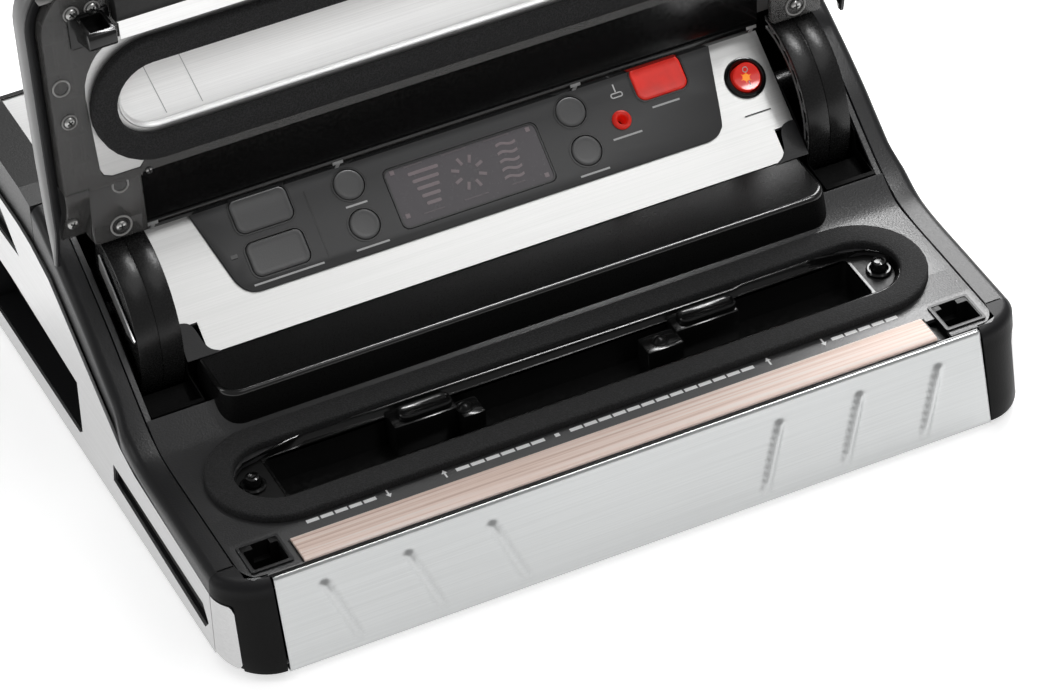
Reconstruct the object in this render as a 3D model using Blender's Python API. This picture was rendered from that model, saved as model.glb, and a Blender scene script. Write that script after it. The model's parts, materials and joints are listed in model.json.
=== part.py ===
"""Chamber-style countertop vacuum sealer with its lid raised: casing, deck, controls, lid and inner works.

Lengths in this script are millimetres in the deck frame: x to the right, y to the back measured from
the middle of the seal strip, z up from the deck. world() turns them into metres, with the origin at the
middle of the footprint on the table. Controls are laid out on the sloping plate as (x, up the slope, out).
"""

import math

import bmesh
import bpy
from mathutils import Matrix, Vector

# Casing
HALF_WIDTH = 241.5
CHEEK_HALF = 238.8
SEAM_X = 226.0
FRONT_PANEL_HALF = 212.0
FLOOR_Z = -61.0
BASE_Z = -57.0
FRONT_Y = -26.0
REAR_Y = 352.0
MIDDLE_Y = (FRONT_Y + REAR_Y) / 2
CRACK_Y = 244.0
GAP = 0.35
PAN_TOP = -52.5
FOOT_X = 205.0
FOOT_Y = (6.0, 322.0)
FOOT_RADIUS = 10.0
BEADS = [(184.5, 170.8), (135.7, 122.0), (86.4, 72.6)]
BEAD_HALF = 2.6
SHELL_WALL = 2.5

# Deck and vacuum chamber
GASKET_Y = 63.45
GASKET_OUTER = 39.1
GASKET_INNER = 23.4
GASKET_BEND_X = 177.0
GASKET_TOP = 5.3
TROUGH_HALF = 198.2
TROUGH_Y = (44.6, 84.6)
TROUGH_FLOOR = -22.0
STRIP_X = (-191.9, 188.1)
STRIP_Y = (-7.7, 12.2)
SOCKET_X = (197.0, 219.6)
SOCKET_Y = (-2.4, 18.2)
SOCKET_WALL = 1.3
SOCKET_RIM = 0.8
SOCKET_CORNER = [
    (197.1, 18.1), (197.1, -8.0), (212.2, -8.0), (212.2, -6.0),
    (221.0, -6.0), (221.0, -4.5), (225.9, -4.5), (225.9, 18.1),
]
LEDGE_Z = 22.3
LEDGE_HALF = 186.8

# Sloping control plate
PLATE_FRONT = (148.5, 22.3)
SLOPE = math.radians(37)
PLATE_RUN = 92.6
PLATE_HALF = 190.4
TOP_Z = PLATE_FRONT[1] + PLATE_RUN * math.sin(SLOPE)
TOP_Y = PLATE_FRONT[0] + PLATE_RUN * math.cos(SLOPE)

# Lid, drawn closed and turned open about its hinge
HINGE = (201.0, 31.2)
OPEN_ANGLE = math.radians(94.6)
LID_HALF = 242.0
LID_GASKET_Y = GASKET_Y - 2.5
ARM_X = (192.2, 217.8)
ARM_RADIUS = 53.0
POCKET_X = (190.8, 222.1)

SIDES = {"left": -1, "right": 1}

# Heights of the shell's side along y: its top edge and the edge of the steel side panel below it
CHEEK_TOP = [
    (7, -0.2), (82, 0), (105, 1.5), (124, 8.5), (145, 23.6),
    (169, 42), (203, 63), (232, 79), (243.7, 82),
]
CREASE = [(7, -14), (110, -9), (129.5, -3.9), (219, 50), (243.7, 57)]


def world(x, y, z):
    return Vector((x / 1000, (y - MIDDLE_Y) / 1000, (z - FLOOR_Z) / 1000))


def clear_scene():
    for obj in list(bpy.data.objects):
        bpy.data.objects.remove(obj, do_unlink=True)


def material(name, color, roughness, metallic=0.0, alpha=1.0):
    mat = bpy.data.materials.new(name)
    mat.use_nodes = True
    shader = mat.node_tree.nodes["Principled BSDF"]
    shader.inputs["Base Color"].default_value = (*color, 1)
    shader.inputs["Roughness"].default_value = roughness
    shader.inputs["Metallic"].default_value = metallic
    shader.inputs["Alpha"].default_value = alpha
    mat.diffuse_color = (*color, 1)
    return mat


def object_from(name, mesh, mat):
    obj = bpy.data.objects.new(name, mesh)
    bpy.context.scene.collection.objects.link(obj)
    if mat is not None:
        mesh.materials.clear()
        mesh.materials.append(mat)
    return obj


def prism(name, outline, low, high, axis, mat=None, local=False):
    """A straight solid: outline holds (y, z) points when axis is "x", and (x, y) points when it is "z"."""
    mesh = bpy.data.meshes.new(name)
    form = bmesh.new()
    rings = []
    for level in (low, high):
        ring = []
        for a, b in outline:
            point = Vector((level, a, b)) if axis == "x" else Vector((a, b, level))
            point = point / 1000 if local else world(*point)
            ring.append(form.verts.new(point))
        rings.append(ring)
    count = len(outline)
    form.faces.new(rings[0])
    form.faces.new(rings[1][::-1])
    for i in range(count):
        j = (i + 1) % count
        form.faces.new((rings[0][j], rings[0][i], rings[1][i], rings[1][j]))
    bmesh.ops.recalc_face_normals(form, faces=form.faces)
    form.to_mesh(mesh)
    form.free()
    return object_from(name, mesh, mat)


def box(name, x, y, z, mat=None, local=False):
    corners = [(x[0], y[0]), (x[1], y[0]), (x[1], y[1]), (x[0], y[1])]
    return prism(name, corners, z[0], z[1], "z", mat, local)


def combine(obj, others, operation):
    """Boolean of obj with each of the others in turn, which are used up."""
    for other in others:
        step = obj.modifiers.new(operation, "BOOLEAN")
        step.object = other
        step.operation = operation
        step.solver = "EXACT"
    bpy.context.view_layer.update()
    graph = bpy.context.evaluated_depsgraph_get()
    mesh = bpy.data.meshes.new_from_object(obj.evaluated_get(graph))
    mats = list(obj.data.materials)
    obj.modifiers.clear()
    obj.data = mesh
    mesh.materials.clear()
    for mat in mats:
        mesh.materials.append(mat)
    for other in others:
        bpy.data.objects.remove(other, do_unlink=True)
    return obj


def join(obj, *others):
    return combine(obj, others, "UNION")


def cut(obj, *others):
    return combine(obj, others, "DIFFERENCE")


def sheet(line, thickness):
    """Closed outline of a bent sheet: the line, and the same line moved to its right by the thickness."""
    points = [Vector(p) for p in line]
    sides = [(b - a).normalized() for a, b in zip(points, points[1:])]
    normals = [Vector((d.y, -d.x)) for d in sides]
    back = []
    for i, point in enumerate(points):
        first = normals[max(i - 1, 0)]
        second = normals[min(i, len(normals) - 1)]
        middle = (first + second).normalized()
        back.append(point + middle * (thickness / max(middle.dot(first), 0.4)))
    return [tuple(p) for p in points] + [tuple(p) for p in reversed(back)]


def arc(cx, cy, radius, start, end, steps):
    """Points on a circle, angles in degrees."""
    found = []
    for i in range(steps + 1):
        angle = math.radians(start + (end - start) * i / steps)
        found.append((cx + radius * math.cos(angle), cy + radius * math.sin(angle)))
    return found


def rounded(cx, cy, width, height, radius, steps=3):
    w = width / 2 - radius
    h = height / 2 - radius
    found = []
    for sx, sy, start in ((1, 1, 0), (-1, 1, 90), (-1, -1, 180), (1, -1, 270)):
        found += arc(cx + sx * w, cy + sy * h, radius, start, start + 90, steps)
    return found


def circle(cx, cy, radius, steps=20):
    return arc(cx, cy, radius, 0, 360, steps)[:-1]


def stadium(bend_x, cy, radius, steps=10):
    return arc(bend_x, cy, radius, -90, 90, steps) + arc(-bend_x, cy, radius, 90, 270, steps)


def height_at(line, y):
    for (y0, z0), (y1, z1) in zip(line, line[1:]):
        if y0 <= y <= y1:
            return z0 + (z1 - z0) * (y - y0) / (y1 - y0)
    return line[-1][1]


def span(side, near, far):
    """The x range between two distances from the middle, on one side, lowest first."""
    return tuple(sorted((side * near, side * far)))


def smooth(obj, angle=35):
    for face in obj.data.polygons:
        face.use_smooth = True
    obj.data.set_sharp_from_angle(angle=math.radians(angle))
    return obj


def parent_at(obj, parent, origin):
    """Hangs obj on an empty, with its origin at a point given in the empty's own millimetres."""
    spot = Vector(origin) / 1000
    obj.data.transform(Matrix.Translation(-spot))
    obj.parent = parent
    obj.location = spot
    return obj


# ---------------------------------------------------------------- casing

def build_base(mats):
    pan = prism("base_pan", rounded(0, 165.5, 474, 365, 18), BASE_Z, PAN_TOP, "z", mats["black"])
    cut(pan, prism("hollow", rounded(0, 165.5, 469, 360, 16), BASE_Z + SHELL_WALL, 0, "z"))
    spots = {"foot_front": FOOT_Y[0], "foot_rear": FOOT_Y[1]}
    for start, y in spots.items():
        for name, side in SIDES.items():
            outline = circle(side * FOOT_X, y, FOOT_RADIUS, 16)
            smooth(prism(f"{start}_{name}", outline, FLOOR_Z, BASE_Z - GAP, "z", mats["rubber"]))


def build_front_panel(mats):
    bend = [(-18.4, -56.6), (-23.9, -56.2), (-25.3, -53.6), (-13.4, -3.4), (-12.2, -0.9), (-10.4, 0.1)]
    panel = prism("front_panel", sheet(bend, 1.0), -FRONT_PANEL_HALF, FRONT_PANEL_HALF, "x", mats["steel"])
    lean = (-13.4 + 25.3) / (53.6 - 3.4)
    beads = []
    for side in (-1, 1):
        for top, bottom in BEADS:
            beads.append(bead(side * top, side * bottom, lean))
    join(panel, *beads)


def bead(top_x, bottom_x, lean):
    """A raised rib on the front panel, running down and towards the middle, with rounded ends."""
    form = bmesh.new()
    top = Vector((top_x, -10))
    bottom = Vector((bottom_x, -45.5))
    along = (bottom - top).normalized()
    across = Vector((-along.y, along.x))
    outline = []
    for end, start in ((top, 90), (bottom, 270)):
        for i in range(5):
            turn = math.radians(start + 45 * i)
            outline.append(end + (along * math.cos(turn) - across * math.sin(turn)) * BEAD_HALF)
    rings = []
    for out, shrink in ((-0.6, 1.0), (0.9, 0.62)):
        ring = []
        for i, p in enumerate(outline):
            middle = top if i < 5 else bottom
            q = middle + (p - middle) * shrink
            y = -13.4 - (-3.4 - q.y) * lean - out
            ring.append(form.verts.new(world(q.x, y, q.y)))
        rings.append(ring)
    form.faces.new(rings[0])
    form.faces.new(rings[1][::-1])
    for i in range(10):
        j = (i + 1) % 10
        form.faces.new((rings[0][i], rings[0][j], rings[1][j], rings[1][i]))
    bmesh.ops.recalc_face_normals(form, faces=form.faces)
    mesh = bpy.data.meshes.new("bead")
    form.to_mesh(mesh)
    form.free()
    return object_from("bead", mesh, None)


def corner_wall(side, thickness):
    """The black corner between front and side panels: rounded in plan, leaning out towards the bottom."""
    form = bmesh.new()
    rings = []
    for z in (BASE_Z + 0.4, -3, 0):
        lean = -11.6 + (z / BASE_Z) * (FRONT_Y + 11.6)
        inset = 1.8 if z == 0 else 0
        centre = (FRONT_PANEL_HALF + 1.0, 8.0)
        ring = []
        for inner in (0, thickness):
            rx = HALF_WIDTH - 0.05 - centre[0] - inset - inner
            ry = centre[1] - lean - inset - inner
            turns = range(9) if inner == 0 else range(8, -1, -1)
            for i in turns:
                angle = math.radians(90 * i / 8)
                x = centre[0] + rx * math.cos(angle)
                y = centre[1] - ry * math.sin(angle)
                ring.append(form.verts.new(world(side * x, y, z)))
        rings.append(ring)
    form.faces.new(rings[0])
    form.faces.new(rings[-1][::-1])
    for low, high in zip(rings, rings[1:]):
        for i in range(len(low)):
            j = (i + 1) % len(low)
            form.faces.new((low[i], low[j], high[j], high[i]))
    bmesh.ops.recalc_face_normals(form, faces=form.faces)
    mesh = bpy.data.meshes.new("corner")
    form.to_mesh(mesh)
    form.free()
    return object_from("corner", mesh, None)


def shell_side(side, out, start, end):
    """Side of the black shell from start to end along y: a top strip, and the wall down to the crease."""
    keys = [start] + [y for y, _ in CHEEK_TOP if start < y < end] + [end]
    top = [(y, height_at(CHEEK_TOP, y)) for y in keys]
    low = [(y, z) for y, z in CREASE if start < y < end]
    low = [(start, height_at(CREASE, start))] + low + [(end, height_at(CREASE, end))]
    cover = prism("cover", sheet(top, 3.0), *span(side, SEAM_X + GAP, out - 0.05), "x")
    below = [(y, z - 0.06) for y, z in top]
    wall = prism("wall", below + low[::-1], *span(side, out - SHELL_WALL, out), "x")
    return join(cover, wall)


def deck_corner(side):
    """Flat corner of the shell's top beside the latch socket."""
    centre = (FRONT_PANEL_HALF + 1.0, 8.0)
    arc_points = []
    for i in range(9):
        angle = math.radians(90 * i / 8)
        x = centre[0] + (HALF_WIDTH - centre[0] - 1.8) * math.cos(angle)
        y = centre[1] - (19.6 - 1.8) * math.sin(angle)
        arc_points.append((side * x, y))
    inner = [(centre[0], -8.45), (221.5, -8.45), (221.5, -5), (SEAM_X + GAP, -5), (SEAM_X + GAP, 8.4)]
    inner.append((HALF_WIDTH - 1.8, 8.4))
    outline = arc_points + [(side * x, y) for x, y in inner]
    return prism("corner_top", outline, -2.6, -0.07, "z")


def build_top_shell(mats):
    reach = FRONT_PANEL_HALF + 6
    bar = box("top_shell", (-reach, reach), (-9.8, -8.5), (-12, -0.6), mats["black"])
    pieces = []
    for side in SIDES.values():
        pieces.append(shell_side(side, HALF_WIDTH, 7.3, 136))
        pieces.append(shell_side(side, CHEEK_HALF, 135.2, 243.0))
        pieces.append(corner_wall(side, 2.4))
        pieces.append(deck_corner(side))
        pieces.append(box("tie", span(side, FRONT_PANEL_HALF + 1.3, 219), (-13.3, -8.46), (-11, -2.9)))
        pieces.append(box("tie", span(side, 227.5, 238.4), (0.5, 16), (-12, -0.9)))
    for piece in pieces:
        join(bar, piece)


def build_deck(mats):
    line = [(-8.1, 0), (109, 0), (111.5, 2.5), (111.8, 19.5), (114.6, LEDGE_Z), (147.6, LEDGE_Z), (148.0, 14)]
    deck = prism("deck_panel", sheet(line, 2.5), -LEDGE_HALF, LEDGE_HALF, "x", mats["black"])
    additions = []
    slope = [(-8.04, -0.03), (103, -0.03), (112, 2.4), (125.3, 11.4)]
    tail = [(113, 3.0), (125.2, 11.2), (145, 26.4), (169, 44.7), (203, 65.7), (224, 76.5)]
    for side in SIDES.values():
        additions.append(prism("flank", sheet(slope, 2.5), *span(side, LEDGE_HALF - 1, SEAM_X), "x"))
        additions.append(prism("tail", sheet(tail, 2.3), *span(side, 222.5, SEAM_X - 0.04), "x"))
        end = [(104, -1), (146.9, -1), (146.9, LEDGE_Z - 0.9), (115, LEDGE_Z - 0.9), (112.6, 19), (112.3, 1)]
        additions.append(prism("end", end, *span(side, LEDGE_HALF - 2.4, LEDGE_HALF - 0.06), "x"))
    for piece in additions:
        join(deck, piece)
    slot_x = (STRIP_X[0] - 1.5, STRIP_X[1] + 1.5)
    slot_y = (STRIP_Y[0] + 0.7, STRIP_Y[1] - 0.6)
    tools = [prism("chamber", trough_outline(GAP), -9, 9, "z"), box("heater_slot", slot_x, slot_y, (-9, 9))]
    for side in SIDES.values():
        tools.append(box("corner", span(side, SOCKET_X[0] - GAP, 240), (-20, SOCKET_Y[1] + GAP), (-9, 9)))
        tools.append(box("pocket", span(side, POCKET_X[0] - GAP, POCKET_X[1] + GAP), (125.5, 130), (2, 20)))
    cut(deck, *tools)


def side_outline():
    top = [(8.5, -14.4), (110, -9.4), (129.6, -4.3), (219, 49.6), (244, 56.6), (262, 58.6), (351, 58.6)]
    return [(351, BASE_Z + 0.4), (8.5, BASE_Z + 0.4)] + top


GRIP = [(190.5, -3), (191, -39), (196, -43), (330, -43), (330, 4), (286, 4)]
VENT = [(14, -40), (20, -47), (146, -40), (144, -27), (20, -30)]
SCOOP = [(267, 32), (300, 30), (330, 30), (330, 46), (292, 52)]


def build_sides(mats):
    for name, side in SIDES.items():
        panel = prism(f"side_panel_{name}", side_outline(), *span(side, 239.9, 241.4), "x", mats["steel"])
        tools = [prism("hole", hole, *span(side, 230, 250), "x") for hole in (GRIP, VENT, SCOOP)]
        cut(panel, *tools)
        build_liner(name, side, mats)


def build_liner(name, side, mats):
    """Black moulding behind the steel side: a hand grip, a long vent and an upper scoop."""
    back = [(12, -51), (340, -51), (340, 53), (262, 53), (246, 49), (226, 41), (140, -10), (12, -17)]
    liner = prism(f"side_liner_{name}", back, *span(side, 236.4, 239.5), "x", mats["black"])
    join(liner, prism("grip_shell", inset(GRIP, -2.2), *span(side, 223.4, 237.5), "x"))
    cut(liner, prism("grip", GRIP, *span(side, 225.4, 250), "x"))
    for hole in (VENT, SCOOP):
        cut(liner, prism("groove", inset(hole, 1.5), *span(side, 237.6, 250), "x"))


def inset(outline, distance):
    """Outline moved inwards by the distance, or outwards where it is negative."""
    cy = sum(p[0] for p in outline) / len(outline)
    cz = sum(p[1] for p in outline) / len(outline)
    found = []
    for y, z in outline:
        reach = Vector((y - cy, z - cz))
        found.append(tuple(Vector((cy, cz)) + reach * (1 - distance / reach.length)))
    return found


def build_rear(mats):
    """Rear shell: two cheeks behind the split line, and the back wall with its louvres."""
    top = [(CRACK_Y + GAP, 82), (260, 84.4), (338, 84.4), (350.5, 80), (352, 76)]
    wall = top + [(352, 59), (CRACK_Y + GAP, 57.3)]
    back = box("rear_shell", (-CHEEK_HALF, CHEEK_HALF), (349.5, REAR_Y), (BASE_Z + 0.4, 77), mats["grey"])
    additions = []
    for side in SIDES.values():
        additions.append(prism("cover", sheet(top, 2.5), *span(side, 217.5, CHEEK_HALF), "x"))
        additions.append(prism("wall", wall, *span(side, CHEEK_HALF - 2.5, CHEEK_HALF), "x"))
    join(back, *additions)
    slots = [box("slot", (-60, 60), (340, 360), (z, z + 4)) for z in (-20, -10, 0, 10)]
    inlet = box("inlet_hole", (118.7, 151.3), (340, 360), (-47.3, -18.7))
    cut(back, inlet, *slots)
    plate = [(TOP_Y + 3.5, TOP_Z + 0.2), (345, TOP_Z + 0.2), (349, TOP_Z - 2), (349, TOP_Z - 12)]
    prism("rear_top_plate", sheet(plate, 1.2), -217, 217, "x", mats["steel"])
    build_inlet(mats)


def build_inlet(mats):
    body = box("power_inlet", (119, 151), (334, REAR_Y - 0.1), (-47, -19), mats["black"])
    cut(body, box("socket", (123, 147), (338, 360), (-43, -23.5)))
    spots = ((128, -33), (135, -28), (142, -33))
    pins = [box("pin", (x - 1, x + 1), (337, 349), (z - 2, z + 2)) for x, z in spots]
    join(body, *pins)


# ---------------------------------------------------------------- chamber and sealing bar

def trough_outline(out):
    """Outline of the tub in plan, moved outwards by out: a long box with well rounded ends."""
    width = 2 * (TROUGH_HALF + out)
    depth = TROUGH_Y[1] - TROUGH_Y[0] + 2 * out
    return rounded(0, (TROUGH_Y[0] + TROUGH_Y[1]) / 2, width, depth, 19.6 + out, 6)


def build_trough(mats):
    wall = 1.8
    x, y = TROUGH_HALF, TROUGH_Y
    middle = (y[0] + y[1]) / 2
    tub = prism("vacuum_trough", trough_outline(0), TROUGH_FLOOR - 2, 0.3, "z", mats["gloss"])
    rim_out = join(tub, prism("rim", trough_outline(1.1), 0.29, 1.2, "z"))
    cut(
        rim_out,
        prism("shallow", trough_outline(-wall), -3, 9, "z"),
        prism("deep", rounded(0, middle, 356, y[1] - y[0] - 2 * wall, 6), TROUGH_FLOOR, 9, "z"),
    )
    additions = []
    for side, x_block, x_boss in ((-1, (-104, -65.5), (-65.6, -57)), (1, (67.5, 106), (48, 67.6))):
        additions.append(box("block", x_block, (68, y[1] - 1), (TROUGH_FLOOR - 1, -3)))
        additions.append(box("boss", x_boss, (60.5, 75.3), (TROUGH_FLOOR - 1, -7)))
        post = prism("post", circle(side * 190, 64.4, 4.4, 16), -4, 4.3, "z")
        additions.append(post)
    join(rim_out, *additions)
    for name, x in (("left", -82.5), ("right", 88.0)):
        pad = prism(f"bag_stop_{name}", rounded(x, 76, 33, 8.5, 3.5), -3 + GAP, 2.6, "z", mats["gloss"])
        smooth(pad, 50)


def build_gasket(name, top, low, mats):
    ring = prism(name, stadium(GASKET_BEND_X, GASKET_Y, GASKET_OUTER), low, top, "z", mats["foam"])
    cut(ring, prism("inner", stadium(GASKET_BEND_X, GASKET_Y, GASKET_INNER), low - 5, top + 5, "z"))
    return smooth(ring)


def build_seal(mats):
    box("heater_bar", STRIP_X, (STRIP_Y[0] + 1.2, STRIP_Y[1] - 1.1), (-12, 0.3), mats["metal"])
    front, back = STRIP_Y
    edge = [(front, 0.65), (front, 1.3), (front + 1, 1.8), (back - 1, 1.8), (back, 1.3), (back, 0.65)]
    prism("seal_strip", edge, *STRIP_X, "x", mats["ptfe"])


def build_sockets(mats):
    for name, side in SIDES.items():
        x = span(side, *SOCKET_X)
        tub = box(f"latch_socket_{name}", x, SOCKET_Y, (-17, 0.4), mats["gloss"])
        rim = span(side, SOCKET_X[0] - SOCKET_RIM, SOCKET_X[1] + SOCKET_RIM)
        join(tub, box("rim", rim, (SOCKET_Y[0] - SOCKET_RIM, SOCKET_Y[1] + SOCKET_RIM), (0.35, 1.1)))
        join(tub, prism("corner", [(side * px, py) for px, py in SOCKET_CORNER], -SHELL_WALL, -0.05, "z"))
        inside = span(side, SOCKET_X[0] + SOCKET_WALL, SOCKET_X[1] - SOCKET_WALL)
        cut(tub, box("inside", inside, (SOCKET_Y[0] + SOCKET_WALL, SOCKET_Y[1] - SOCKET_WALL), (-15.5, 9)))
        notch = span(side, SOCKET_X[0] + 6, SOCKET_X[1] - 6)
        cut(tub, box("notch", notch, (SOCKET_Y[1] - 5, SOCKET_Y[1] + 5), (-6, -3)))


# ---------------------------------------------------------------- controls

def on_panel(obj, panel, x=0, s=0, h=0):
    return parent_at(obj, panel, (x, s, h))


def build_plate(mats):
    slope = [(PLATE_FRONT[0] + GAP, PLATE_FRONT[1] + GAP), (TOP_Y, TOP_Z), (TOP_Y + 3, TOP_Z + 0.2)]
    plate = prism("control_plate", sheet(slope, 1.2), -PLATE_HALF, PLATE_HALF, "x", mats["steel"])
    cut(plate, *[box("notch", span(side, 177.6, 200), (140, 164), (10, 50)) for side in SIDES.values()])


def panel_empty():
    panel = bpy.data.objects.new("panel_frame", None)
    bpy.context.scene.collection.objects.link(panel)
    panel.location = world(0, *PLATE_FRONT)
    panel.rotation_euler = (SLOPE, 0, 0)
    return panel


FASCIA = [
    (-161.5, 84), (-149, 34), (-146, 28), (-140, 25), (-134, 24.3),
    (137, 24.3), (144, 26), (149.5, 33), (161.5, 84),
]
ROUND_KEYS = {
    "pulse_button": (-68.3, 65.6),
    "seal_button": (-68.3, 41.6),
    "marinate_button": (68.3, 65.6),
    "canister_button": (68.3, 41.6),
}
WIDE_KEYS = {
    "dry_button": (-120.5, 67.5, 34, 20),
    "moist_button": (-120.5, 41.7, 34, 20),
    "cancel_button": (124.5, 68.5, 31, 20),
}
PORT = (94.5, 51.9)
ROCKER = (173.4, 53.0)
DISPLAY = (-1.0, 49.0, 94, 36)


def build_controls(panel, mats):
    fascia = prism("control_fascia", FASCIA, 0.5, 1.5, "z", mats["fascia"], True)
    holes = [prism("hole", circle(x, s, 9.1), -3, 5, "z", None, True) for x, s in ROUND_KEYS.values()]
    for x, s, width, depth in list(WIDE_KEYS.values()) + [DISPLAY]:
        holes.append(prism("hole", rounded(x, s, width + 0.8, depth + 0.8, 4.6), -3, 5, "z", None, True))
    holes.append(prism("hole", circle(*PORT, 4.2), -3, 5, "z", None, True))
    holes.append(box("hole", (-147.2, -142.2), (45.5, 48.7), (-3, 5), None, True))
    cut(fascia, *holes)
    on_panel(fascia, panel)
    for name, (x, s) in ROUND_KEYS.items():
        key = prism(name, circle(x, s, 8.7), -3.5, 2.1, "z", mats["key"], True)
        on_panel(smooth(key, 50), panel, x, s)
    for name, (x, s, w, d) in WIDE_KEYS.items():
        mat = mats["red"] if name == "cancel_button" else mats["key"]
        on_panel(smooth(prism(name, rounded(x, s, w, d, 4.6), -3.5, 2.1, "z", mat, True), 50), panel, x, s)
    window = prism("display_window", rounded(*DISPLAY, 3.6), -2.6, 1.4, "z", mats["window"], True)
    on_panel(window, panel, *DISPLAY[:2])
    lens = box("indicator_lens", (-146.8, -142.6), (45.9, 48.3), (-2, 1.7), mats["lens"], True)
    on_panel(lens, panel, -144.7, 47)
    build_port(panel, mats)
    build_power_switch(panel, mats)
    plate = bpy.data.objects["control_plate"]
    tools = [prism("opening", rounded(*spot), -9, 9, "z", None, True) for spot in plate_openings()]
    tools.append(prism("port_hole", circle(*PORT, 4.2), -9, 9, "z", None, True))
    tools.append(prism("switch_hole", circle(*ROCKER, 10.4), -9, 9, "z", None, True))
    for tool in tools:
        tool.matrix_world = panel_matrix()
    cut(plate, *tools)


def plate_openings():
    """Holes in the steel plate under the fascia: one for each block of keys, and one for the display."""
    wide = [(-120.5, 54.5, 38, 52, 6), (124.5, 68.5, 35, 24, 6)]
    paired = [(-68.3, 53.6, 21, 45, 9), (68.3, 53.6, 21, 45, 9)]
    return wide + paired + [(*DISPLAY[:2], 98, 40, 5), (-144.7, 47, 6, 4, 1)]


def panel_matrix():
    return Matrix.Translation(world(0, *PLATE_FRONT)) @ Matrix.Rotation(SLOPE, 4, "X")


def build_port(panel, mats):
    port = prism("accessory_port", circle(*PORT, 5.7, 20), 1.9, 3.6, "z", mats["red"], True)
    join(port, prism("neck", circle(*PORT, 3.85, 20), -9, 2.4, "z", None, True))
    cut(port, prism("bore", circle(*PORT, 2.7, 20), -20, 20, "z", None, True))
    on_panel(smooth(port), panel, *PORT)


def build_power_switch(panel, mats):
    bezel = prism("switch_bezel", circle(*ROCKER, 12.3, 28), 0.45, 2.4, "z", mats["gloss"], True)
    join(bezel, prism("barrel", circle(*ROCKER, 10.0, 28), -15, 1, "z", None, True))
    cut(bezel, prism("well", circle(*ROCKER, 9.1, 28), -12, 9, "z", None, True))
    on_panel(smooth(bezel), panel, *ROCKER)
    rocker = prism("power_rocker", circle(0, 0, 8.2, 24), -3, 3.6, "z", mats["red_lens"], True)
    trunk = box("trunk", (-4, 4), (-3, 3), (-8, -2), None, True)
    join(rocker, trunk)
    for sign in (-1, 1):
        wedge = box("wedge", (-12, 12), (0, 12) if sign > 0 else (-12, 0), (3.6, 9), None, True)
        wedge.data.transform(Matrix.Rotation(math.radians(-9 * sign), 4, "X"))
        cut(rocker, wedge)
    rocker.data.transform(Matrix.Rotation(math.radians(7), 4, "X"))
    rocker.parent = panel
    rocker.location = Vector((ROCKER[0], ROCKER[1], 0)) / 1000


# ---------------------------------------------------------------- hinge pockets, pins and inner works

def pocket_floor(radius):
    return arc(*HINGE, radius, 204, 324, 10)


def build_pockets(mats):
    for name, side in SIDES.items():
        top = [(238.5, 60), (203, 60), (169, 40), (151, 25.9), (149, 14.2), (126.2, 11.8)]
        outer = [(125.9, 9.6), (128.8, 0)] + pocket_floor(58.4) + [(240.2, 4), (240.2, 60)] + top[1:]
        inner = [(126.9, 20), (131, 2.5)] + pocket_floor(56.6) + [(238.5, 4), (238.5, 90), (160, 90)]
        tub = prism(f"arm_pocket_{name}", outer, *span(side, *POCKET_X), "x", mats["black"])
        cut(tub, prism("inside", inner, *span(side, POCKET_X[0] + 0.8, POCKET_X[1] - 0.8), "x"))
        reach = span(side, POCKET_X[0] + 1.1, POCKET_X[1] - 1.1)
        smooth(prism(f"hinge_pin_{name}", circle(*HINGE, 4, 16), *reach, "x", mats["metal"]))


def build_works(mats):
    pump = box("vacuum_pump", (-70, 0), (262, 318), (-54, -8), mats["metal"])
    join(pump, prism("head", rounded(-35, 290, 44, 44, 6), -20, 10, "z"))
    motor = prism("pump_motor", circle(290, -30, 22, 20), GAP, 70, "x", mats["dark_metal"])
    smooth(motor)
    pipe = box("vacuum_pipe", (-38, -32), (92, 256), (-44, -38), mats["rubber"])
    riser = box("riser", (-38, -32), (86, 94), (-44, -25))
    join(pipe, riser, box("tail", (-38, -32), (250, 261.4), (-44, -38)))
    box("transformer", (-190, -120), (256, 316), (-54, 0), mats["dark_metal"])
    box("main_board", (-110, 110), (170, 240), (-34, -32.4), mats["board"])
    smooth(prism("cooling_fan", circle(300, -20, 28, 20), 110, 122, "x", mats["black"]))


# ---------------------------------------------------------------- lid, drawn closed

COVER_TOP = [
    (-24.5, 21.8), (-24.5, 32.5), (-21.5, 38), (-12.5, 40.7),
    (37.5, 41), (97.5, 39.2), (135.5, 36.3), (151, 33.6),
]
LID_FRONT = -24.5
LID_CORNER = 34.0


def corner_arc(side, inset_by, steps=6):
    """Front corner of the lid in plan, set in from its edge, from the side round to the front."""
    radius = LID_CORNER - inset_by
    cx, cy = LID_HALF - LID_CORNER, LID_FRONT + LID_CORNER
    angles = [math.radians(90 * i / steps) for i in range(steps + 1)]
    return [(side * (cx + radius * math.cos(a)), cy - radius * math.sin(a)) for a in angles]


def lid_outline(inset_by, back):
    """Outline of the lid in plan: square at the back, rounded at the front."""
    half = LID_HALF - inset_by
    return [(half, back)] + corner_arc(1, inset_by) + corner_arc(-1, inset_by)[::-1] + [(-half, back)]


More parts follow.
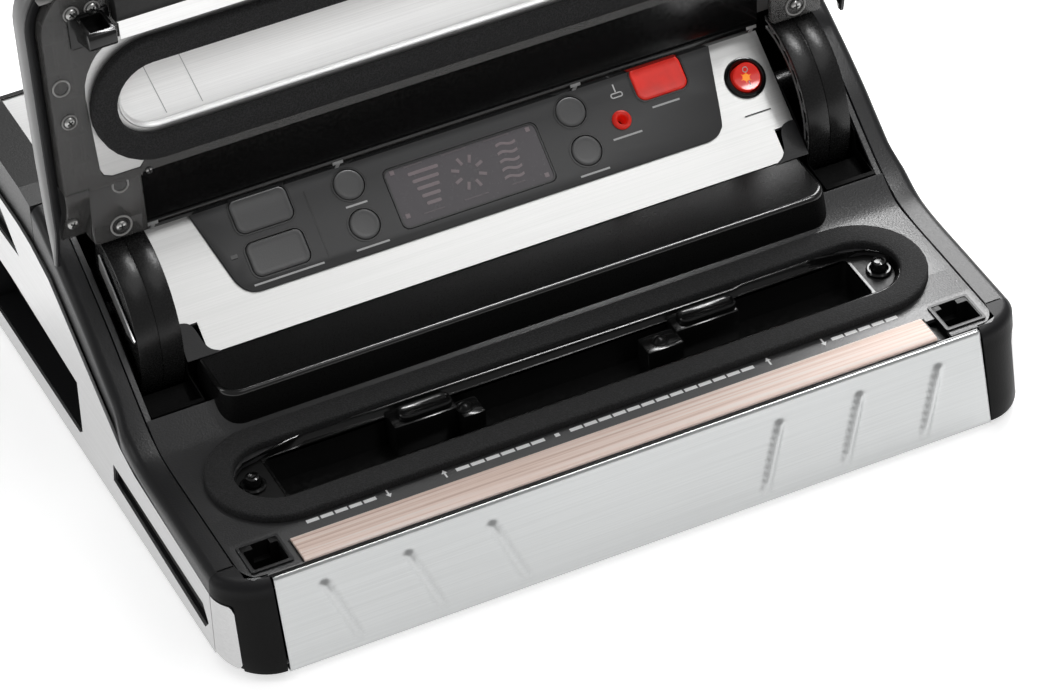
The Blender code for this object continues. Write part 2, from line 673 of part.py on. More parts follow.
def build_lid_cover(mats):
    outline = COVER_TOP + [(151, 26.5), (137, 21.8)]
    solid = prism("lid_cover", outline, -LID_HALF, LID_HALF, "x", mats["silver"])
    hollow = [(-22.3, 10), (-22.3, 32), (-19.6, 36.6), (-12, 38.6), (37.5, 38.9), (97.5, 37.1)]
    hollow += [(135.5, 34.2), (160, 29.9), (160, 10)]
    cut(solid, prism("hollow", hollow, -LID_HALF + 2.3, LID_HALF - 2.3, "x"))
    common = prism("keep", lid_outline(0.01, 200), -40, 90, "z")
    combine(solid, [common], "INTERSECT")
    for side in SIDES.values():
        skirt = corner_arc(side, 0.06) + corner_arc(side, 2.4)[::-1]
        join(solid, prism("skirt", skirt, 21.81, 40.2, "z"))
        tip = [(150, 33.5), (161.5, 30.3), (161.4, 28.6), (139, 22.2), (137, 21.85), (120, 21.85), (120, 30)]
        join(solid, prism("tip", tip, *span(side, LID_HALF - 2.25, LID_HALF - 0.05), "x"))
    return solid


def build_lid_rim(mats):
    """Black lip under the edge of the cover, round the front and both sides."""
    rim = prism("lid_rim", lid_outline(0.2, 136), 19.6, 21.4, "z", mats["black"])
    cut(rim, prism("inside", lid_outline(5.9, 160), 0, 40, "z"))
    for side in SIDES.values():
        tail = [(135, 19.62), (139, 19.62), (161, 26.0), (161, 27.8), (138.8, 21.38), (135, 21.38)]
        join(rim, prism("tail", tail, *span(side, LID_HALF - 2.2, LID_HALF - 0.25), "x"))
    return rim


def build_lid_frame(mats):
    frame = prism("lid_frame", lid_outline(6.3, 107.6), 11.5, 25, "z", mats["smoke"])
    cut(frame, prism("hollow", lid_outline(8.3, 105.8), 13.5, 40, "z"))
    under = [(100, 11.5), (116, 11.5), (125, 14.6), (134, 21.6), (146, 29.2)]
    wing = under + [(144, 30.2), (133, 24.5), (100, 24.5)]
    shelf = under + [(145, 30.5), (133, 23.4), (124, 16.6), (115, 13.4), (100, 13.4)]
    for side in SIDES.values():
        join(frame, prism("wing", wing, *span(side, LID_HALF - 8.4, LID_HALF - 6.36), "x"))
        join(frame, prism("shelf", shelf, *span(side, 221.3, LID_HALF - 8), "x"))
        block = box("block", span(side, 190.3, 222.0), (104, 147.2), (15.5, 20))
        join(frame, block, box("link", span(side, 190.35, 223), (104.4, 108.5), (11.6, 17)))
        join(frame, box("side", span(side, 220.6, 222.05), (104.7, 145.8), (15.6, 29.4)))
    join(frame, box("riser", (-190.9, 190.9), (105.9, 107.4), (12, 25.7)))
    return cut(frame, prism("window", stadium(GASKET_BEND_X + 4, LID_GASKET_Y, 42.9), 0, 20, "z"))


def build_lid_inside(mats):
    outline = stadium(GASKET_BEND_X + 4, LID_GASKET_Y, 42.5)
    plate = prism("lid_inner_plate", outline, 11.5, 12.6, "z", mats["steel"])
    band_line = [(107.8, 26.3), (112, 26.5), (137, 28.2), (150, 29.9), (158.6, 31.0)]
    band = prism("lid_rear_band", sheet(band_line, -1.3), -188.4, 188.4, "x", mats["gloss"])
    outer, inner = [stadium(GASKET_BEND_X, LID_GASKET_Y, r) for r in (GASKET_OUTER, GASKET_INNER)]
    gasket = prism("lid_gasket", outer, 5.7, 11.1, "z", mats["foam"])
    cut(gasket, prism("inner", inner, 0, 20, "z"))
    bar = [(-11.5, 11.1), (-11.5, 5), (-7.5, 2.3), (4, 2.3), (7.2, 5), (7.2, 11.1)]
    pressure = prism("pressure_bar", bar, -196, 196, "x", mats["rubber"])
    strip = box("bar_strip", (-195.4, 195.4), (7.6, 21.4), (9.6, 11.1), mats["steel"])
    return [plate, band, smooth(gasket), pressure, strip]


def build_arms(mats):
    arms = []
    for name, side in SIDES.items():
        outer = arc(*HINGE, ARM_RADIUS, 183.5, 308, 14)
        inner = arc(*HINGE, ARM_RADIUS - 2.2, 308, 183.5, 14)
        arm = prism(f"lid_arm_{name}", outer + inner, *span(side, *ARM_X), "x", mats["black"])
        lining = arc(*HINGE, 46, 184, 307, 12) + arc(*HINGE, 44.2, 307, 184, 12)
        second = prism("second", lining, *span(side, *ARM_X), "x")
        web = [(HINGE[0] + 5, HINGE[1] + 9)] + arc(*HINGE, ARM_RADIUS - 1, 184, 307, 12)
        web = prism("web", web, *span(side, ARM_X[1] - 2.4, ARM_X[1] - 0.06), "x")
        boss = prism("boss", circle(*HINGE, 9, 16), *span(side, ARM_X[0] + 0.1, ARM_X[1] + 0.3), "x")
        for piece in (web, second, boss):
            join(arm, piece)
        ribs = []
        for i in range(9):
            start = 190 + 13 * i
            lean = 6 if i % 2 else -5
            p = arc(*HINGE, 45, start, start, 1)[0]
            q = arc(*HINGE, 52, start + lean, start + lean, 1)[0]
            ribs.append(prism("rib", sheet([p, q], 1.4), *span(side, ARM_X[0] + 0.8, ARM_X[1] - 0.5), "x"))
        for rib in ribs:
            join(arm, rib)
        cut(arm, prism("bore", circle(*HINGE, 4.35, 16), -260, 260, "x"))
        arms.append(smooth(arm, 30))
    return arms


def build_hooks(mats):
    front = [(0.4, 11.1), (0.4, 5), (1.2, -6), (4.2, -9.6)]
    shape = front + [(9.6, -9.6), (11.8, -6.6), (13.6, 3), (15.4, 11.1)]
    hooks = []
    for name, side in SIDES.items():
        hooks.append(prism(f"latch_hook_{name}", shape, *span(side, 200.5, 216.5), "x", mats["gloss"]))
    return hooks


def open_lid(pieces):
    """Hangs the lid's pieces, drawn closed, on the hinge axis and turns them open."""
    axis = bpy.data.objects.new("lid_axis", None)
    bpy.context.scene.collection.objects.link(axis)
    axis.location = world(0, *HINGE)
    axis.rotation_euler = (-OPEN_ANGLE, 0, 0)
    for piece in pieces:
        piece.data.transform(Matrix.Translation(-axis.location))
        piece.parent = axis


def main():
    clear_scene()
    mats = {
        "black": material("black_plastic", (0.012, 0.012, 0.013), 0.45),
        "gloss": material("gloss_black_plastic", (0.008, 0.008, 0.008), 0.15),
        "grey": material("dark_grey_plastic", (0.05, 0.05, 0.05), 0.4),
        "smoke": material("smoked_plastic", (0.06, 0.058, 0.056), 0.2, 0.0, 0.8),
        "steel": material("brushed_steel", (0.62, 0.62, 0.62), 0.35, 1.0),
        "silver": material("silver_paint", (0.32, 0.33, 0.33), 0.4, 0.5),
        "metal": material("aluminium", (0.5, 0.5, 0.5), 0.4, 1.0),
        "dark_metal": material("dark_metal", (0.12, 0.12, 0.13), 0.5, 1.0),
        "foam": material("foam_rubber", (0.018, 0.018, 0.018), 0.85),
        "rubber": material("rubber", (0.01, 0.01, 0.01), 0.7),
        "ptfe": material("ptfe_cloth", (0.72, 0.56, 0.48), 0.55),
        "fascia": material("fascia_film", (0.045, 0.045, 0.045), 0.4),
        "key": material("key_plastic", (0.09, 0.09, 0.09), 0.45),
        "red": material("red_plastic", (0.75, 0.03, 0.02), 0.35),
        "red_lens": material("lit_red_lens", (0.9, 0.06, 0.03), 0.2),
        "window": material("display_glass", (0.055, 0.045, 0.06), 0.1),
        "lens": material("indicator_lens", (0.12, 0.12, 0.12), 0.3),
        "board": material("circuit_board", (0.02, 0.12, 0.05), 0.6),
    }
    build_base(mats)
    build_front_panel(mats)
    build_top_shell(mats)
    build_deck(mats)
    build_sides(mats)
    build_rear(mats)
    build_trough(mats)
    build_gasket("lower_gasket", GASKET_TOP, 0.35, mats)
    build_seal(mats)
    build_sockets(mats)
    build_plate(mats)
    build_controls(panel_empty(), mats)
    build_pockets(mats)
    build_works(mats)
    lid = [build_lid_cover(mats), build_lid_rim(mats), build_lid_frame(mats)] + build_lid_inside(mats)
    open_lid(lid + build_arms(mats) + build_hooks(mats))


main()
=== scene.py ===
import json
import math

import bmesh
import bpy
from mathutils import Matrix, Vector


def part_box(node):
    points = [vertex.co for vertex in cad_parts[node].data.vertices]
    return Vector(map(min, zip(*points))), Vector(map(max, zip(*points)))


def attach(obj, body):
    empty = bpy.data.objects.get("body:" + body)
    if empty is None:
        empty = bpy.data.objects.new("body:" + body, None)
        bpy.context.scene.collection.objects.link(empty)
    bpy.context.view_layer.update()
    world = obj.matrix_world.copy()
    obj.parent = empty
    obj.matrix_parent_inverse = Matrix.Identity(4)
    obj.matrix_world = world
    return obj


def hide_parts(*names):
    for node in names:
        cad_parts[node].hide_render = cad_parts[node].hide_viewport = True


# A countertop vacuum sealer with its lid raised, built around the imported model.
# Lengths are millimetres in the deck frame: x to the right, y to the back from the middle of the
# seal strip's bed, z up from the deck. Lid shapes are drawn shut, in the same frame, and turned open
# about the hinge. Shapes on the sloping panel are drawn as (x, up the slope, out of the panel).

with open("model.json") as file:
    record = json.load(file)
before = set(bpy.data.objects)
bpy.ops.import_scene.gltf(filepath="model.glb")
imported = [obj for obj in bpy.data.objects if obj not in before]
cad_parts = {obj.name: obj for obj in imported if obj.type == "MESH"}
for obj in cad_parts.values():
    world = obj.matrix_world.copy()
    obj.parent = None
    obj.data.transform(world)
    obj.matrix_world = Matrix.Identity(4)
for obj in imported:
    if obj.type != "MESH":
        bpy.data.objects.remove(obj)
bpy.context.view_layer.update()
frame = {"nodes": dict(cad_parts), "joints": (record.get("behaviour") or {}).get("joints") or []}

HOUSING = "housing"
LID = "lid"
SIDES = {"left": -1, "right": 1}


def centre(low, high):
    return (low + high) / 2


# ---------------------------------------------------------------- places
# The frame gives the deck's zero point and the hinge. The other measures are the object's own.

STRIP_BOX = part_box("seal_strip")
GASKET_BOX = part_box("lower_gasket")
LID_JOINT = next(j for j in frame["joints"] if j["name"] == "lid_hinge")
HINGE = Vector(LID_JOINT["pos_m"])
OPEN_ANGLE = math.radians(LID_JOINT["range_deg"][1])
DECK_ZERO = Vector((0, STRIP_BOX[0].y + 0.0077, GASKET_BOX[0].z - 0.00035))

PANEL_FRONT = (148.5, 22.3)
SLOPE = math.radians(37)

HALF_WIDTH = 241.5
CHEEK_HALF = 239.0
SEAM_X = 226.0
PANEL_HALF = 212.0
FRONT_FOOT_Y = -25.3
CRACK_Y = 244.0
GASKET_Y = 63.45
GASKET_OUTER = 39.15
GASKET_INNER = 23.4
GASKET_BEND = 177.0
LEDGE_Z = 22.3
POCKET_X = (190.8, 222.1)
HINGE_YZ = (201.0, 31.2)
ARM_X = (192.2, 217.8)
FRONT_TOP_Y = -12.2
CORNER_CENTRE = (PANEL_HALF + 1.2, 8.0)

# Heights along y: the shell's top edge, the crease under it and the deck
CHEEK_LINE = [
    (7, 0), (30, 0), (60, 0), (88, 0), (105, 1.5), (115, 4.6), (124, 9), (134, 15.6), (145, 23.6),
    (157, 32.6), (169, 41.8), (186, 53), (203, 63), (217, 71), (232, 78.3), (CRACK_Y - 0.9, 82),
]
CREASE_LINE = [
    (7, -13.6), (40, -12.6), (80, -9.6), (110, -6.8), (122, -5), (129.5, -3.4), (137, 0.2), (150, 8),
    (170, 20.2), (200, 38.6), (212, 46), (220, 50.2), (230, 54), (CRACK_Y - 0.9, 56.6),
]
FLANK_LINE = [(-8.0, 0), (60, 0), (92, 0), (103, 0.5), (109, 1.6), (114, 3.6), (119, 6.8), (125.3, 11.5)]

# Pressed beads of the front panel: the distance of each one's top and foot from the middle
BEADS = [(184.5, 170.8), (135.7, 122.0), (86.4, 72.6)]

# Controls on the panel: places, and for the wide ones their width and depth
KEYS_ROUND = {
    "pulse_button": (-68.3, 65.6), "seal_button": (-68.3, 41.6),
    "marinate_button": (68.3, 65.6), "canister_button": (68.3, 41.6),
}
KEYS_WIDE = {
    "dry_button": (-120.5, 67.5, 34, 20), "moist_button": (-120.5, 41.7, 34, 20),
    "cancel_button": (124.5, 68.5, 31, 20),
}
DISPLAY = (-1.0, 49.0, 94, 36)
PORT = (94.5, 51.9)
ROCKER = (173.4, 53.0)
INDICATOR = (-144.7, 47.0)
FILM_TOP = 1.55
KEY_RADIUS = 8.7

# How far a bead spreads and stands out, how far the side wraps round the corner in degrees, and the arms
BEAD_REACH = 3.0
BEAD_HEIGHT = 2.0
WRAP_ANGLE = 41
ARM_RADIUS = 53

# Lid, drawn shut
LID_HALF = 242.0
LID_FRONT = -24.5
LID_CORNER = 34.0
LID_TOP = [
    (-24.5, 38.6), (-12.5, 40.7), (37.5, 41), (97.5, 39.2), (135.5, 36.3), (151, 33.6), (161.5, 30.3),
]
LID_GASKET_Y = 60.95
LID_CLIMB_Y = 137
LID_CLIMB = 0.29

# Looks of edges, in degrees
SMOOTH_ANGLE = 38
SOFTENED_ANGLE = 35


def deck(x, y, z):
    return DECK_ZERO + Vector((x, y, z)) / 1000


def lid(x, y, z):
    """A point of the lid, drawn shut, where it stands with the lid open."""
    away = deck(x, y, z) - Vector((0, HINGE.y, HINGE.z))
    return Vector((0, HINGE.y, HINGE.z)) + Matrix.Rotation(-OPEN_ANGLE, 3, "X") @ away


def panel(x, s, h):
    y = PANEL_FRONT[0] + s * math.cos(SLOPE) - h * math.sin(SLOPE)
    z = PANEL_FRONT[1] + s * math.sin(SLOPE) + h * math.cos(SLOPE)
    return deck(x, y, z)


# ---------------------------------------------------------------- materials

def new_material(name):
    mat = bpy.data.materials.new(name)
    mat.use_nodes = True
    nodes = mat.node_tree.nodes
    return mat, nodes, mat.node_tree.links, nodes["Principled BSDF"]


def scaled_coordinates(nodes, links, scale):
    coords = nodes.new("ShaderNodeTexCoord")
    mapping = nodes.new("ShaderNodeMapping")
    mapping.inputs["Scale"].default_value = scale
    links.new(coords.outputs["Object"], mapping.inputs["Vector"])
    return mapping.outputs["Vector"]


def noise(nodes, links, scale, detail=3.0, stretch=(1, 1, 1)):
    texture = nodes.new("ShaderNodeTexNoise")
    texture.inputs["Scale"].default_value = scale
    texture.inputs["Detail"].default_value = detail
    links.new(scaled_coordinates(nodes, links, stretch), texture.inputs["Vector"])
    return texture.outputs["Fac"]


def ramp(nodes, links, source, stops):
    node = nodes.new("ShaderNodeValToRGB")
    elements = node.color_ramp.elements
    while len(elements) < len(stops):
        elements.new(0.5)
    for element, (at, color) in zip(elements, stops):
        element.position = at
        element.color = (*color, 1)
    links.new(source, node.inputs["Fac"])
    return node.outputs["Color"]


def span_of(nodes, links, source, low, high):
    node = nodes.new("ShaderNodeMapRange")
    node.inputs["From Min"].default_value = 0.3
    node.inputs["From Max"].default_value = 0.7
    node.inputs["To Min"].default_value = low
    node.inputs["To Max"].default_value = high
    links.new(source, node.inputs["Value"])
    return node.outputs["Result"]


def bump(nodes, links, shader, source, distance, strength=1.0):
    node = nodes.new("ShaderNodeBump")
    node.inputs["Distance"].default_value = distance
    node.inputs["Strength"].default_value = strength
    links.new(source, node.inputs["Height"])
    links.new(node.outputs["Normal"], shader.inputs["Normal"])


def moulded(name, color, rough, grain=0.00012, fineness=900, spread=0.15, specular=0.5):
    """Moulded plastic: an even fine texture, with faint changes of tone and sheen over a hand's width."""
    mat, nodes, links, shader = new_material(name)
    broad = noise(nodes, links, 9, 2.0)
    dark = tuple(c * (1 - spread) for c in color)
    light = tuple(c * (1 + spread) for c in color)
    links.new(ramp(nodes, links, broad, [(0.3, dark), (0.7, light)]), shader.inputs["Base Color"])
    fine = noise(nodes, links, fineness, 2.0)
    links.new(span_of(nodes, links, fine, rough - 0.05, rough + 0.05), shader.inputs["Roughness"])
    bump(nodes, links, shader, fine, grain)
    shader.inputs["Specular IOR Level"].default_value = specular
    return mat


def corner_painted_light_plastic(name):
    """The shell's plastic on the upright corners. Its base colour carries painted light and shade: darker
    down the corner as painted shade, and lighter near the top as a painted sheen that makes up for the low
    specular.
    """
    mat, nodes, links, shader = new_material(name)
    height = nodes.new("ShaderNodeSeparateXYZ")
    links.new(scaled_coordinates(nodes, links, (1, 1, 1)), height.inputs["Vector"])
    painted_light_share = nodes.new("ShaderNodeMapRange")
    painted_light_share.inputs["From Min"].default_value = DECK_ZERO.z - 0.010
    painted_light_share.inputs["From Max"].default_value = DECK_ZERO.z - 0.001
    links.new(height.outputs["Z"], painted_light_share.inputs["Value"])
    # painted shade low on the corner, painted sheen at its top
    stops = [(0.0, (0.0025, 0.0025, 0.0025)), (1.0, (0.017, 0.017, 0.018))]
    links.new(ramp(nodes, links, painted_light_share.outputs["Result"], stops), shader.inputs["Base Color"])
    shader.inputs["Roughness"].default_value = 0.4
    shader.inputs["Specular IOR Level"].default_value = 0.12
    bump(nodes, links, shader, noise(nodes, links, 900, 2.0), 0.00008)
    return mat


def brushed(name, color, rough, along="x", depth=0.00002):
    """Stainless sheet brushed in one direction, with long hairline streaks."""
    mat, nodes, links, shader = new_material(name)
    stretch = {"x": (1.6, 260, 260), "y": (260, 1.6, 260)}[along]
    hair = noise(nodes, links, 6, 5.0, stretch)
    broad = noise(nodes, links, 4, 2.0, (0.6, 3, 3))
    dark = tuple(c * 0.9 for c in color)
    links.new(ramp(nodes, links, hair, [(0.3, dark), (0.7, color)]), shader.inputs["Base Color"])
    links.new(span_of(nodes, links, broad, rough - 0.04, rough + 0.04), shader.inputs["Roughness"])
    shader.inputs["Metallic"].default_value = 1.0
    bump(nodes, links, shader, hair, depth)
    return mat


def foam_material(name):
    mat, nodes, links, shader = new_material(name)
    cells = nodes.new("ShaderNodeTexVoronoi")
    cells.inputs["Scale"].default_value = 1150
    links.new(scaled_coordinates(nodes, links, (1, 1, 1)), cells.inputs["Vector"])
    tone = ramp(nodes, links, cells.outputs["Distance"], [(0.1, (0.002, 0.002, 0.002)),
        (0.8, (0.021, 0.021, 0.022))])
    links.new(tone, shader.inputs["Base Color"])
    shader.inputs["Roughness"].default_value = 0.85
    shader.inputs["Specular IOR Level"].default_value = 0.35
    bump(nodes, links, shader, cells.outputs["Distance"], 0.0003)
    return mat


def cloth_tape_material(name):
    """Glass cloth tape with long brownish streaks and a fine weave."""
    mat, nodes, links, shader = new_material(name)
    streak = noise(nodes, links, 5, 6.0, (1.1, 110, 40))
    stops = [(0.30, (0.72, 0.50, 0.41)), (0.40, (0.90, 0.68, 0.58)), (0.50, (1.0, 0.80, 0.71)),
        (0.64, (1.0, 0.87, 0.80))]
    links.new(ramp(nodes, links, streak, stops), shader.inputs["Base Color"])
    shader.inputs["Roughness"].default_value = 0.5
    weave = nodes.new("ShaderNodeTexWave")
    weave.inputs["Scale"].default_value = 620
    links.new(scaled_coordinates(nodes, links, (1, 1, 1)), weave.inputs["Vector"])
    bump(nodes, links, shader, weave.outputs["Fac"], 0.00004)
    return mat


def smoked_material(name, alpha=0.66):
    mat, nodes, links, shader = new_material(name)
    cloud = noise(nodes, links, 30, 3.0)
    tone = ramp(nodes, links, cloud, [(0.3, (0.045, 0.044, 0.043)), (0.7, (0.085, 0.083, 0.081))])
    links.new(tone, shader.inputs["Base Color"])
    links.new(span_of(nodes, links, cloud, 0.18, 0.3), shader.inputs["Roughness"])
    shader.inputs["Alpha"].default_value = alpha
    bump(nodes, links, shader, cloud, 0.00005)
    return mat


def painted(name, color, rough):
    mat, nodes, links, shader = new_material(name)
    flake = noise(nodes, links, 2600, 1.0)
    dark = tuple(c * 0.92 for c in color)
    links.new(ramp(nodes, links, flake, [(0.35, dark), (0.65, color)]), shader.inputs["Base Color"])
    shader.inputs["Roughness"].default_value = rough
    shader.inputs["Metallic"].default_value = 0.55
    bump(nodes, links, shader, flake, 0.00001)
    return mat


def glowing(name, color, rough, glow=0.0):
    """Coloured plastic with an even glow: a lamp's glow in the lit switch, and painted light where the part
    holds no lamp.
    """
    mat, nodes, links, shader = new_material(name)
    cloud = noise(nodes, links, 120, 2.0)
    dark = tuple(c * 0.85 for c in color)
    tone = ramp(nodes, links, cloud, [(0.3, dark), (0.7, color)])
    links.new(tone, shader.inputs["Base Color"])
    links.new(span_of(nodes, links, cloud, rough - 0.03, rough + 0.03), shader.inputs["Roughness"])
    links.new(tone, shader.inputs["Emission Color"])
    shader.inputs["Emission Strength"].default_value = glow
    return mat


def make_materials():
    return {
        "black": moulded("satin_black_plastic", (0.013, 0.013, 0.014), 0.35, 0.00008, 900, 0.15, 0.28),
        "deck": moulded("deck_plastic", (0.032, 0.032, 0.033), 0.34),
        "gloss": moulded("gloss_black_plastic", (0.005, 0.005, 0.005), 0.17, 0.000003, 400, 0.15, 0.45),
        "pocket": moulded("pocket_plastic", (0.003, 0.003, 0.003), 0.6, 0.00005, 900, 0.15, 0.05),
        "well": moulded("well_plastic", (0.006, 0.006, 0.006), 0.36, 0.00002, 700, 0.15, 0.16),
        "ledge": moulded("semi_gloss_black_plastic", (0.006, 0.006, 0.006), 0.3, 0.000003, 2200, 0.1, 0.15),
        "lip": moulded("polished_lip_plastic", (0.006, 0.006, 0.006), 0.15, 0.000003, 400, 0.1, 0.5),
        "arm": moulded("arm_plastic", (0.010, 0.010, 0.010), 0.27, 0.00005, 900, 0.15, 0.3),
        # the corners' plastic, with painted shade and a painted sheen in its base colour
        "corner": corner_painted_light_plastic("corner_painted_light_plastic"),
        "grey": moulded("rear_shell_plastic", (0.020, 0.020, 0.020), 0.38, 0.00008, 900, 0.15, 0.28),
        # near black as painted shade in gaps and recesses: round the seal strip, down the hose port and in
        # the screw slots
        "dark_gap": moulded("painted_shade_gap", (0.004, 0.004, 0.004), 0.5),
        "rubber": moulded("black_rubber", (0.010, 0.010, 0.010), 0.6, 0.0001, 500),
        "foam": foam_material("gasket_foam"),
        "tape": cloth_tape_material("seal_tape"),
        # One brushed stainless in several copies. Their base colours are set part by part, lighter or
        # darker for how brightly each part is lit: painted light and shade.
        "steel": brushed("brushed_steel", (0.86, 0.86, 0.855), 0.33),
        "dish_steel": brushed("dish_steel", (0.93, 0.93, 0.925), 0.52),
        "tray_steel": brushed("tray_steel", (0.62, 0.62, 0.615), 0.45),
        "front_steel": brushed("front_steel", (0.56, 0.57, 0.57), 0.36),
        "side_steel": brushed("side_steel", (0.60, 0.60, 0.60), 0.38, "y"),
        "plate_steel": brushed("plate_steel", (0.50, 0.50, 0.495), 0.36),
        "silver": painted("silver_paint", (0.19, 0.19, 0.19), 0.42),
        "smoke": smoked_material("smoked_plastic"),
        "rib": moulded("smoked_rib_plastic", (0.28, 0.275, 0.27), 0.3, 0.00003, 300, 0.35),
        "fascia": moulded("fascia_film", (0.042, 0.042, 0.043), 0.42, 0.00003, 1200, 0.05, 0.4),
        "key": moulded("key_plastic", (0.090, 0.090, 0.091), 0.45, 0.00004, 1200, 0.05),
        "outline": moulded("key_surround", (0.006, 0.006, 0.006), 0.4, 0.00002, 600),
        # the red key and the hose port get a faint painted glow that brightens their red
        "red": glowing("red_plastic", (0.90, 0.026, 0.014), 0.4, 0.14),
        "lit_red": glowing("lit_red_lens", (0.85, 0.03, 0.02), 0.18, 0.3),
        "amber": glowing("amber_glow", (1.0, 0.30, 0.01), 0.3, 0.6),
        "window": moulded("display_window_gloss", (0.052, 0.042, 0.052), 0.24, 0.00001, 300, 0.06),
        "segment": moulded("display_segment", (0.24, 0.185, 0.20), 0.35, 0.00001, 600, 0.1),
        "segment_dim": moulded("display_dim", (0.12, 0.095, 0.105), 0.35, 0.00001, 600, 0.1),
        "clip": moulded("grey_clip", (0.36, 0.36, 0.36), 0.35, 0.00002, 600),
        "slat": moulded("louvre_plastic", (0.045, 0.045, 0.045), 0.4, 0.00005),
        "score": moulded("score_line", (0.40, 0.40, 0.40), 0.5, 0.00001, 600),
        # light grey on the black ribs and rims: painted highlights along their edges
        "arm_edge_painted_highlight": moulded("arm_edge_painted_highlight_plastic", (0.24, 0.24, 0.24), 0.3, 0.00003, 900),
        "print": moulded("light_print", (0.62, 0.62, 0.62), 0.5, 0.00001, 900, 0.05),
        "deck_print": moulded("white_print", (0.88, 0.88, 0.88), 0.5, 0.00001, 900, 0.05),
        "screw": brushed("screw_steel", (0.42, 0.42, 0.41), 0.3),
        "metal": brushed("cast_metal", (0.55, 0.55, 0.55), 0.42),
        "board": moulded("circuit_board", (0.02, 0.12, 0.05), 0.35, 0.00003, 300, 0.3),
        "lens": moulded("dark_lens", (0.085, 0.085, 0.085), 0.2, 0.00001, 300),
    }


# ---------------------------------------------------------------- mesh tools

def shade(mesh, mats, smooth_angle=SMOOTH_ANGLE):
    """Adds the materials, and makes edges sharp where the faces bend by more than the angle."""
    for mat in mats:
        mesh.materials.append(mat)
    for face in mesh.polygons:
        face.use_smooth = True
    mesh.set_sharp_from_angle(angle=math.radians(smooth_angle))


def mesh_object(name, form, mats, smooth_angle=SMOOTH_ANGLE):
    mesh = bpy.data.meshes.new(name)
    form.to_mesh(mesh)
    form.free()
    shade(mesh, mats, smooth_angle)
    obj = bpy.data.objects.new(name, mesh)
    bpy.context.scene.collection.objects.link(obj)
    return obj


def finish_mesh(name, form, mats, smooth_angle=SMOOTH_ANGLE):
    bmesh.ops.recalc_face_normals(form, faces=form.faces)
    return mesh_object(name, form, mats, smooth_angle)


def thicken(obj, thickness):
    """Gives a skin a wall behind it, in metres."""
    wall = obj.modifiers.new("thickness", "SOLIDIFY")
    wall.thickness = thickness
    wall.offset = -1


def piece(obj, body, slot, *nodes):
    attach(obj, body)
    if nodes:
        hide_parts(*nodes)
    return obj


def loft(name, rings, mat, closed=True, caps=True, smooth_angle=SMOOTH_ANGLE):
    """A skin through rings of points; closed joins each ring's ends, caps fills the first and last."""
    form = bmesh.new()
    rows = [[form.verts.new(p) for p in ring] for ring in rings]
    count = len(rows[0])
    for low, high in zip(rows, rows[1:]):
        for i in range(count if closed else count - 1):
            j = (i + 1) % count
            form.faces.new((low[i], low[j], high[j], high[i]))
    if caps:
        form.faces.new(rows[0][::-1])
        form.faces.new(rows[-1])
    return finish_mesh(name, form, [mat], smooth_angle)


def prism(name, outline, low, high, place, mat, soft=0.0, steps=2):
    """Outline of (a, b) points raised from low to high, put in place, with its sharp edges softened."""
    rings = [[place(a, b, level) for a, b in outline] for level in (low, high)]
    obj = loft(name, rings, mat)
    if soft:
        edge = obj.modifiers.new("soft_edge", "BEVEL")
        edge.width = soft / 1000
        edge.segments = steps
        edge.limit_method = "ANGLE"
        edge.angle_limit = math.radians(SOFTENED_ANGLE)
    return obj


def along_x(place):
    """For outlines of (y, z) points, raised along x."""
    return lambda a, b, level: place(level, a, b)


def cut(obj, *cutters):
    for cutter in cutters:
        step = obj.modifiers.new("cut", "BOOLEAN")
        step.object = cutter
        step.operation = "DIFFERENCE"
        step.solver = "EXACT"
    return bake(obj, *cutters)


def bake(obj, *used):
    """Applies the modifiers of obj and drops the helpers that they used."""
    bpy.context.view_layer.update()
    graph = bpy.context.evaluated_depsgraph_get()
    mesh = bpy.data.meshes.new_from_object(obj.evaluated_get(graph))
    mats = list(obj.data.materials)
    obj.modifiers.clear()
    obj.data = mesh
    mesh.materials.clear()
    for helper in used:
        bpy.data.objects.remove(helper, do_unlink=True)
    shade(mesh, mats)
    return obj


def merge(name, objects):
    """Several shapes as one piece with all their materials."""
    form = bmesh.new()
    mats = []
    for obj in objects:
        graph = bpy.context.evaluated_depsgraph_get()
        mesh = bpy.data.meshes.new_from_object(obj.evaluated_get(graph))
        mesh.transform(obj.matrix_world)
        slots = []
        for mat in obj.data.materials:
            if mat not in mats:
                mats.append(mat)
            slots.append(mats.index(mat))
        start = len(form.faces)
        form.from_mesh(mesh)
        form.faces.ensure_lookup_table()
        for face in form.faces[start:]:
            face.material_index = slots[min(face.material_index, len(slots) - 1)]
        bpy.data.meshes.remove(mesh)
    for obj in objects:
        bpy.data.objects.remove(obj, do_unlink=True)
    return mesh_object(name, form, mats)


def arc(ca, cb, radius, start, end, steps):
    found = []
    for i in range(steps + 1):
        angle = math.radians(start + (end - start) * i / steps)
        found.append((ca + radius * math.cos(angle), cb + radius * math.sin(angle)))
    return found


def circle(ca, cb, radius, steps=32):
    return arc(ca, cb, radius, 0, 360, steps)[:-1]


def rounded(ca, cb, width, height, radius, steps=6):
    w = width / 2 - radius
    h = height / 2 - radius
    found = []
    for sa, sb, start in ((1, 1, 0), (-1, 1, 90), (-1, -1, 180), (1, -1, 270)):
        found += arc(ca + sa * w, cb + sb * h, radius, start, start + 90, steps)
    return found


def stadium(bend, cb, radius, steps=16):
    return arc(bend, cb, radius, -90, 90, steps) + arc(-bend, cb, radius, 90, 270, steps)


def curve_through(points, steps=6):
    """Catmull-Rom curve through points of any dimension."""
    ends = [points[0]] + list(points) + [points[-1]]
    found = []
    for a, b, c, d in zip(ends, ends[1:], ends[2:], ends[3:]):
        for i in range(steps):
            t = i / steps
            found.append(tuple(
                0.5 * (2 * q + (r - p) * t + (2 * p - 5 * q + 4 * r - s) * t * t
                       + (3 * q - p - 3 * r + s) * t ** 3)
                for p, q, r, s in zip(a, b, c, d)))
    found.append(tuple(points[-1]))
    return found


def level_at(line, at):
    for (a, p), (b, q) in zip(line, line[1:]):
        if a <= at <= b:
            return p + (q - p) * (at - a) / (b - a)
    return line[-1][1] if at > line[-1][0] else line[0][1]


